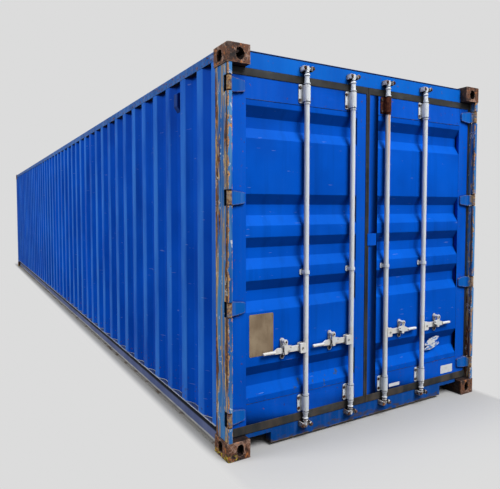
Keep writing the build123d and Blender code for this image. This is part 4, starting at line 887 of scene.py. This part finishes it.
def wall_line(z, proud=0.0):
    """The corrugated line of the left wall at a height, proud of the sheet by some distance."""
    out, back = wall_out - proud, wall_in - proud
    rear = wall_high.x - WALL_END_FLAT
    line = [(wall_high.x, out, z), (rear, out, z), (rear - WALL_SLOPE / 2, back, z),
            (HALF_LENGTH - WALL_FIRST_FLAT + WALL_SLOPE, back, z)]
    x = HALF_LENGTH - WALL_FIRST_FLAT
    while x - WALL_PITCH > wall_low.x:
        inner = x - WALL_OUT_FLAT - WALL_SLOPE
        line += [(x, out, z), (x - WALL_OUT_FLAT, out, z), (inner, back, z), (inner - WALL_IN_FLAT, back, z)]
        x -= WALL_PITCH
    return line + [(x, out, z), (wall_low.x, out, z)]


def mirrored(line):
    return [(x, -y, z) for x, y, z in line]


wall_rise = (0.0, 0.0, wall_high.z - wall_low.z)
wall_foot = wall_line(wall_low.z)
press("left_wall_sheet", wall_foot, wall_rise, WALL_BEND, wall_paint, "left_side_wall")
press("right_wall_sheet", mirrored(wall_foot), wall_rise, WALL_BEND, wall_paint, "right_side_wall")

# %% [markdown]
# The front wall has wider and deeper waves, centred on the middle of the wall. The door
# panels run the other way: their waves are level, with one recess at the top, three close
# together in the middle and one at the foot.

# %% Front wall and door panels
FRONT_PITCH = 250.0 * MM
FRONT_FLAT = 104.0 * MM
FRONT_SLOPE = 18.0 * MM
FRONT_DEPTH = 42.0 * MM
RECESS = 206.0 * MM
RECESS_FLAT = 70.0 * MM
RECESS_DEPTH = 36.0 * MM
RECESS_EDGE = 38.0 * MM
RECESS_SPACING = 280.0 * MM
FRONT_BEND = 12.0
PANEL_BEND = 7.0


def front_line():
    low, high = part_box("front_wall")
    out = low.x + SHEET / 2
    back = out + FRONT_DEPTH
    ribs = int(high.y / FRONT_PITCH)
    line = [(back, low.y, low.z)]
    for k in range(-ribs, ribs + 1):
        left, right = k * FRONT_PITCH - FRONT_FLAT / 2, k * FRONT_PITCH + FRONT_FLAT / 2
        line += [(back, left - FRONT_SLOPE, low.z), (out, left, low.z), (out, right, low.z),
                 (back, right + FRONT_SLOPE, low.z)]
    return line + [(back, high.y, low.z)], (0.0, 0.0, high.z - low.z)


def panel_line(node):
    low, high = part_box(node)
    face = high.x - SHEET / 2
    back = face - RECESS_DEPTH
    middle = (low.z + high.z) / 2 + RECESS / 2
    slope = (RECESS - RECESS_FLAT) / 2
    line = [(face, low.y, high.z)]
    for top in (high.z - RECESS_EDGE, middle + RECESS_SPACING, middle, middle - RECESS_SPACING,
                low.z + RECESS_EDGE + RECESS):
        line += [(face, low.y, top), (back, low.y, top - slope), (back, low.y, top - slope - RECESS_FLAT),
                 (face, low.y, top - RECESS)]
    return line + [(face, low.y, low.z)], (0.0, high.y - low.y, 0.0)


press("front_sheet", *front_line(), FRONT_BEND, wall_paint, "front_wall")
for side in SIGN:
    node = side + "_door_panel"
    press(side + "_panel_sheet", *panel_line(node), PANEL_BEND, door_paint, node)

# %% [markdown]
# The roof's troughs close at both ends, so they aren't one line pulled along. Here the CAD
# sheet already has the right shape, and only its bends are missing. Its upper side is kept,
# the bends are rounded by Bevel while the sheet has no thickness to get in the way, and
# Solidify puts the thickness back underneath.

# %% Roof
ROOF_BEND = 6.0
ROOF_SHARP = math.radians(15.0)
UPWARD = 0.2


def pressed_roof():
    shape = node_copy("roof")
    shape.normal_update()
    under = [face for face in shape.faces if face.normal.z < UPWARD]
    bmesh.ops.delete(shape, geom=under, context="FACES")
    piece = link_piece("roof_sheet", shape, roof_paint)
    piece.data.shade_smooth()
    bevel(piece, ROOF_BEND * MM, ROOF_SHARP)
    thicken(piece, SHEET, -1.0)
    settle(piece, BODY_OF["roof"], ("roof",))
    piece.data.set_sharp_from_angle(angle=SHARP_ANGLE)
    print("roof:", len(piece.data.polygons), "faces")


pressed_roof()

# %% [markdown]
# Bolts and screws are one tree: a hexagonal or round head on a washer, put on each point of a
# mesh and turned to face along one direction, each by its own random amount about its axis.

# %% The tree for bolt heads
WASHER_WIDTH = 1.45
WASHER_HEIGHT = 0.36
WASHER_SIDES = 10
FULL_TURN = 6.283


def bolt_recipe():
    r = Recipe("bolt_heads", {"Head Radius": "Float", "Head Height": "Float", "Sides": "Int",
                              "Facing": "Vector", "Seed": "Int", "Finish": "Material"})
    radius, height = r.given["Head Radius"], r.given["Head Height"]
    sizes = {"Vertices": r.given["Sides"], "Radius": radius, "Depth": height}
    head = r.geo("MeshCylinder", sizes)
    up = r.add("ShaderNodeCombineXYZ", {"Z": r.times(height, 0.5)})[0]
    head = r.geo("Transform", {"Geometry": head, "Translation": up})
    wide, thin = r.times(radius, WASHER_WIDTH), r.times(height, WASHER_HEIGHT)
    washer = r.geo("MeshCylinder", {"Vertices": WASHER_SIDES, "Radius": wide, "Depth": thin})
    both = r.geo("JoinGeometry")
    for part in (washer, head):
        r.tree.links.new(part, both.node.inputs[0])
    turn = r.add("FunctionNodeAlignRotationToVector", {"Vector": r.given["Facing"]}, axis="Z")[0]
    limits = {"Min": 0.0, "Max": FULL_TURN, "Seed": r.given["Seed"]}
    spin = r.add("FunctionNodeRandomValue", limits, data_type="FLOAT")
    spin = r.add("ShaderNodeCombineXYZ", {"Z": spin["Value"]})[0]
    spin = r.add("FunctionNodeEulerToRotation", {"Euler": spin})[0]
    turn = r.add("FunctionNodeRotateRotation", {"Rotation": turn, "Rotate By": spin},
                 rotation_space="LOCAL")[0]
    spread = {"Points": r.given["Geometry"], "Instance": both, "Rotation": turn}
    return r.close(r.geo("InstanceOnPoints", spread))


bolt_heads = bolt_recipe()

# %% [markdown]
# The guides at the head and foot of each bar have four bolts each, a handle's retainer has
# one, and a keeper has one on each ear. The pins that hold hubs and catches end in low round
# heads. Each head rides with the body that it is fastened to. A head is given by its radius
# and its height.

# %% Bolts and pin heads of the locking gear
BAR_Y = (0.590, 0.175)
DOOR_FACE = HALF_LENGTH - 0.060
PLATE_FACE = DOOR_FACE + 0.006
KEEPER_FACE = HALF_LENGTH - 0.0045
GUIDE_BOLT_Z = (0.212, 0.284, 2.310, 2.394)
GUIDE_BOLT_Y = 0.039
RETAINER_BOLT = (0.180, 0.596)
CATCH_PIN = (0.180, 0.702)
PIN_HEAD_FACE = HALF_LENGTH - 0.0095
HUB_PIN = (0.038, 0.642)
HUB_FACE = HALF_LENGTH - 0.012
CAM_Z = (0.104, 2.515)
EAR_Y = 0.034
PIN_SIDES = 12
GEAR_BOLT = (0.0080, 0.0062)
KEEPER_BOLT = (0.0085, 0.0040)
CATCH_PIN_HEAD = (0.0070, 0.0030)
HUB_PIN_HEAD = (0.0060, 0.0030)


def bolts(name, points, head, body, sides=6, finish=finishes["bolt_skin"], facing=(1.0, 0.0, 0.0)):
    sizes = {"Head Radius": head[0], "Head Height": head[1], "Sides": sides, "Facing": facing,
             "Seed": len(points), "Finish": finish}
    piece = settle(run_recipe(name, bolt_heads, points, [], sizes), body)
    print(name, len(points), "heads,", len(piece.data.polygons), "faces")


keeper_points = []
for side, sign in SIGN.items():
    points = [(PLATE_FACE, sign * y + way * GUIDE_BOLT_Y, z)
              for y in BAR_Y for way in (-1, 1) for z in GUIDE_BOLT_Z]
    points += [(PLATE_FACE, sign * (y + RETAINER_BOLT[0]), RETAINER_BOLT[1]) for y in BAR_Y]
    bolts(side + "_gear_bolts", points, GEAR_BOLT, side + "_door")
    keeper_points += [(KEEPER_FACE, sign * y + way * EAR_Y, z)
                      for y in BAR_Y for way in (-1, 1) for z in CAM_Z]
for side, sign in SIGN.items():
    pins = [(PIN_HEAD_FACE, sign * (y + CATCH_PIN[0]), CATCH_PIN[1]) for y in BAR_Y]
    bolts(side + "_catch_pin_heads", pins, CATCH_PIN_HEAD, side + "_door", PIN_SIDES)
    for place, y in zip(PLACES, BAR_Y):
        hub = [(HUB_FACE, sign * (y + HUB_PIN[0]), HUB_PIN[1])]
        body = BODY_OF["_".join((side, place, "locking_bar"))]
        bolts("_".join((side, place, "hub_pin_head")), hub, HUB_PIN_HEAD, body, PIN_SIDES)
bolts("keeper_bolts", keeper_points, KEEPER_BOLT, "container_box")

# %% [markdown]
# The boards are screwed down along every cross member, with flat heads that sit level with
# the ply. That is the bolt tree again, with a round, very low head, on points worked out from
# the members' spacing.

# %% Floor screws
SCREW_PITCH = 150.0 * MM
MEMBER_SPACING = 402.0 * MM
SCREW_EDGE = 40.0 * MM
SCREW_HEAD = (0.0065, 0.0012)
SCREW_SIDES = 8


def floor_points():
    low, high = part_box("cross_members")
    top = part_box("floor_panels")[1].z
    steps = round((high.x - low.x) / MEMBER_SPACING)
    across = int((high.y - SCREW_EDGE) / SCREW_PITCH)
    first = low.x + SCREW_EDGE / 2
    run = high.x - SCREW_EDGE / 2 - first
    rows = [first + run * k / steps for k in range(steps + 1)]
    return [(x, j * SCREW_PITCH, top) for x in rows for j in range(-across, across + 1)]


bolts("floor_screws", floor_points(), SCREW_HEAD, "container_box", SCREW_SIDES, facing=(0.0, 0.0, 1.0))

# %% [markdown]
# Where two pieces of steel meet there is a weld, and a weld is a string of small waves. The
# tree resamples a path to short steps, lets a noise swell and narrow it, and sweeps a small
# circle along it. The same tree draws the long bead at the foot of the walls and the short
# ones between each pressed panel and its frame.

# %% The tree for a weld bead
LEAST_SWELL = 0.6
SWELL = 0.8


def bead_recipe():
    r = Recipe("weld_bead", {"Bead Radius": "Float", "Ripple Length": "Float", "Ripple": "Float",
                             "Finish": "Material"})
    path = r.geo("MeshToCurve", {"Mesh": r.given["Geometry"]})
    steps = r.geo("ResampleCurve", {"Curve": path, "Length": r.given["Ripple Length"]}, mode="LENGTH")
    place = r.geo("InputPosition")
    swell = r.add("ShaderNodeTexNoise", {"Vector": place, "Scale": 70.0, "Detail": 1.0})["Fac"]
    size = math_node(r.tree, "ADD", r.times(swell, r.given["Ripple"]), LEAST_SWELL)
    swollen = r.geo("SetCurveRadius", {"Curve": steps, "Radius": size})
    ring = r.geo("CurvePrimitiveCircle", {"Resolution": 6, "Radius": r.given["Bead Radius"]})
    bead = r.geo("CurveToMesh", {"Curve": swollen, "Profile Curve": ring, "Scale": size,
                                 "Fill Caps": True})
    smooth = r.geo("SetShadeSmooth", {"Geometry": bead})
    return r.close(smooth)


weld_bead = bead_recipe()


def bead(name, lines, radius, ripple_length, body, finish, slot):
    """One or more beads, each along its own line of points, as one piece."""
    points, edges = [], []
    for line in lines:
        edges += [(a + len(points), b + len(points)) for a, b in chain(line)]
        points += line
    sizes = {"Bead Radius": radius, "Ripple Length": ripple_length, "Ripple": SWELL, "Finish": finish}
    piece = settle(run_recipe(name, weld_bead, points, edges, sizes), body)
    print(name, len(piece.data.polygons), "faces")


# %% Beads at the walls' feet, and above and below the door panels
BEAD = 0.0042
BEAD_RIPPLE = 0.016
PANEL_BEAD = 0.0022
PANEL_RIPPLE = 0.008
foot_line = wall_line(wall_low.z + BEAD / 2, SHEET / 2)
bead("wall_foot_beads", [foot_line, mirrored(foot_line)], BEAD, BEAD_RIPPLE, "container_box",
     finishes["weld_paint"], "wall_blue")
for side in SIGN:
    low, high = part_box(side + "_door_panel")
    rows = [[(high.x, low.y, z), (high.x, high.y, z)] for z in (low.z, high.z)]
    bead(side + "_panel_beads", rows, PANEL_BEAD, PANEL_RIPPLE, side + "_door",
         finishes["seam_paint"], "door_blue")

# %% [markdown]
# A tan metal plate is riveted to the left leaf below the three middle recesses. It is bare
# here: a thin sheet with round corners, a soft edge and six rivets. Three pieces of bare film
# on the right leaf are what is left of old stickers: two neat ones and a torn one, which is
# two ragged strokes. Each is an outline filled as one face, and Solidify gives it thickness.

# %% Data plate and sticker film
PLATE_Y = (-1.027, -0.839)
PLATE_Z = (0.622, 0.900)
PLATE_THICK = 0.0016
PLATE_CORNER = 0.008
PLATE_RIM = 0.0006
RIVET_EDGE = 0.012
RIVET_HEAD = (0.0032, 0.0022)
RIVET_SIDES = 10
CORNER_STEPS = 5
LABELS = (((0.868, 1.018), (0.196, 0.264), 0.004), ((0.255, 0.372), (0.196, 0.221), 0.003))
STROKES = (((0.668, 0.470), (0.835, 0.520), 0.026), ((0.664, 0.433), (0.840, 0.468), 0.022))
STROKE_STEPS = 22
STROKE_SWELL = (0.75, 1.10)
STROKE_END = 0.04
FILM = 0.0005
RIM_ANGLE = math.radians(60.0)


def rounded_outline(y_range, z_range, corner):
    """A rectangle's outline with round corners, anticlockwise seen from outside the doors."""
    outline = []
    corners = ((y_range[1], z_range[0], -90), (y_range[1], z_range[1], 0),
               (y_range[0], z_range[1], 90), (y_range[0], z_range[0], 180))
    for y, z, start in corners:
        inward_y = corner if y == y_range[0] else -corner
        inward_z = corner if z == z_range[0] else -corner
        for k in range(CORNER_STEPS + 1):
            turn = math.radians(start + 90.0 * k / CORNER_STEPS)
            outline.append((y + inward_y + corner * math.cos(turn), z + inward_z + corner * math.sin(turn)))
    return outline


def flat_piece(name, outlines, x, thick, finish, body, rounding=0.0):
    """Flat outlines in the plane of the doors, given a thickness outward."""
    shape = bmesh.new()
    for outline in outlines:
        shape.faces.new([shape.verts.new((x, y, z)) for y, z in outline])
    shape.normal_update()
    for face in shape.faces:
        if face.normal.x < 0:
            face.normal_flip()
    piece = link_piece(name, shape, finish)
    thicken(piece, thick, 1.0)
    if rounding:
        bevel(piece, rounding, RIM_ANGLE)
    print(name, len(outlines), "outlines")
    settle(piece, body)


def torn_stroke(start, end, half, seed):
    """A ragged stroke between two places, as a scraped label leaves."""
    draw = random.Random(seed)
    across = Vector((start[1] - end[1], end[0] - start[0])).normalized() * half
    upper, lower = [], []
    for k in range(STROKE_STEPS + 1):
        t = k / STROKE_STEPS
        swell = math.sin(math.pi * min(max(t, STROKE_END), 1 - STROKE_END)) ** 0.5
        middle = Vector(start).lerp(Vector(end), t)
        upper.append(tuple(middle + across * swell * draw.uniform(*STROKE_SWELL)))
        lower.append(tuple(middle - across * swell * draw.uniform(*STROKE_SWELL)))
    return lower + upper[::-1]


panel_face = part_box("left_door_panel")[1].x
flat_piece("data_plate", [rounded_outline(PLATE_Y, PLATE_Z, PLATE_CORNER)], panel_face, PLATE_THICK,
           plate_finish, "left_door", PLATE_RIM)
rivet_y = (PLATE_Y[0] + RIVET_EDGE, PLATE_Y[1] - RIVET_EDGE)
rivet_z = (PLATE_Z[0] + RIVET_EDGE, sum(PLATE_Z) / 2, PLATE_Z[1] - RIVET_EDGE)
rivets = [(panel_face + PLATE_THICK, y, z) for y in rivet_y for z in rivet_z]
bolts("plate_rivets", rivets, RIVET_HEAD, "left_door", RIVET_SIDES, plate_finish)
labels = [rounded_outline(*label) for label in LABELS]
flat_piece("bare_label_film", labels, DOOR_FACE, FILM, film, "right_door")
strokes = [torn_stroke(*stroke, seed) for seed, stroke in enumerate(STROKES)]
flat_piece("torn_film", strokes, panel_face, FILM, torn_film, "right_door")

# %% [markdown]
# The floor is a wide disc in the same plain tone as the background, so that no horizon line
# shows. The camera sees that tone directly, by Is Camera Ray, and glossy paint sees it too.
# Only close to the box does the camera see the lit floor, which keeps its soft shadow. One
# wide lamp stands high in front of the doors and one off the long wall that shows. Light
# from above leaves the upper slope of each pressed recess dark and makes the lower one
# bright. So the sky is brighter overhead than at the horizon, and the floor gives back less
# light than it seems to. A lamp is given by its place, its aim, its width and its power.

# %% Stage and lamps
BACKDROP = 0.715
BACKDROP_TONE = (BACKDROP, BACKDROP, BACKDROP)
FLOOR_REACH = 60.0
FLOOR_SEEN = 0.40
FLOOR_BOUNCE = 0.05
SHADOW_FADE = (0.0, 0.90)
WALL_SIDE_FADE = 11.0
FLOOR_SIDES = 96
SKY = (0.12, 0.75)
LAMPS = (("key", (15.0, 2.0, 13.0), (5.5, 0.0, 1.0), 9.0, 2900.0),
         ("side", (3.0, -15.0, 11.0), (0.0, -1.2, 1.0), 7.0, 1900.0))


def camera_sees(tree):
    """1 for rays from the camera, in gloss and through glass, and 0 for lighting rays."""
    path = add_node(tree, "ShaderNodeLightPath").outputs
    seen = path["Is Camera Ray"]
    for name in ("Is Glossy Ray", "Is Transmission Ray"):
        seen = math_node(tree, "MAXIMUM", seen, path[name])
    return seen


def make_world(horizon, overhead):
    world = bpy.data.worlds.new("studio")
    world.use_nodes = True
    tree = world.node_tree
    direction = add_node(tree, "ShaderNodeTexCoord").outputs["Generated"]
    up = add_node(tree, "ShaderNodeSeparateXYZ", {0: direction}).outputs["Z"]
    limits = {"Value": up, "To Min": horizon, "To Max": overhead}
    sky = add_node(tree, "ShaderNodeMapRange", limits).outputs["Result"]
    parts = {0: camera_sees(tree), 6: sky, 7: BACKDROP_TONE}
    seen = add_node(tree, "ShaderNodeMix", parts, data_type="RGBA").outputs[2]
    fill(tree, tree.nodes["Background"], {"Color": seen})
    bpy.context.scene.world = world


def off_footprint(f):
    """How far a point of the floor lies outside the box's outline."""
    over_x = f.either(f.minus(f.out("X"), HALF_LENGTH), 0.0)
    over_y = f.both(f.either(f.minus(f.out("Y"), HALF_WIDTH), 0.0), WALL_SIDE_FADE)
    return math_node(f.tree, "SQRT", f.plus(f.both(over_x, over_x), f.both(over_y, over_y)))


def make_floor():
    f = Finish("floor_tone")
    seen = camera_sees(f.tree)
    tones = {"Value": seen, "To Min": FLOOR_BOUNCE, "To Max": FLOOR_SEEN}
    f.colour = f.add("MapRange", tones).outputs["Result"]
    f.finish(0.9, specular=0.0)
    lit = f.tree.nodes["Principled BSDF"].outputs[0]
    plain = f.add("Emission", {"Color": BACKDROP_TONE, "Strength": 1.0}).outputs[0]
    reach = {"Value": off_footprint(f), "From Min": SHADOW_FADE[0], "From Max": SHADOW_FADE[1]}
    clear = f.add("MapRange", reach, interpolation_type="SMOOTHSTEP").outputs["Result"]
    blend = f.add("MixShader", {0: f.both(clear, seen), 1: lit, 2: plain}).outputs[0]
    fill(f.tree, f.tree.nodes["Material Output"], {"Surface": blend})
    disc = bmesh.new()
    bmesh.ops.create_circle(disc, cap_ends=True, segments=FLOOR_SIDES, radius=FLOOR_REACH)
    link_piece("floor", disc, f.material)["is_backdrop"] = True


def make_lamp(name, place, aim, size, power):
    data = put(bpy.data.lights.new(name, "AREA"), shape="DISK", size=size, energy=power)
    aimed = (Vector(aim) - Vector(place)).to_track_quat("-Z", "Y")
    put(link(name, data), location=place, rotation_mode="QUATERNION", rotation_quaternion=aimed)


make_world(*SKY)
make_floor()
for lamp in LAMPS:
    make_lamp(*lamp)
print("stage: floor, world and two lamps")

# %% Measure the box of everything shown
low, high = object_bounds()
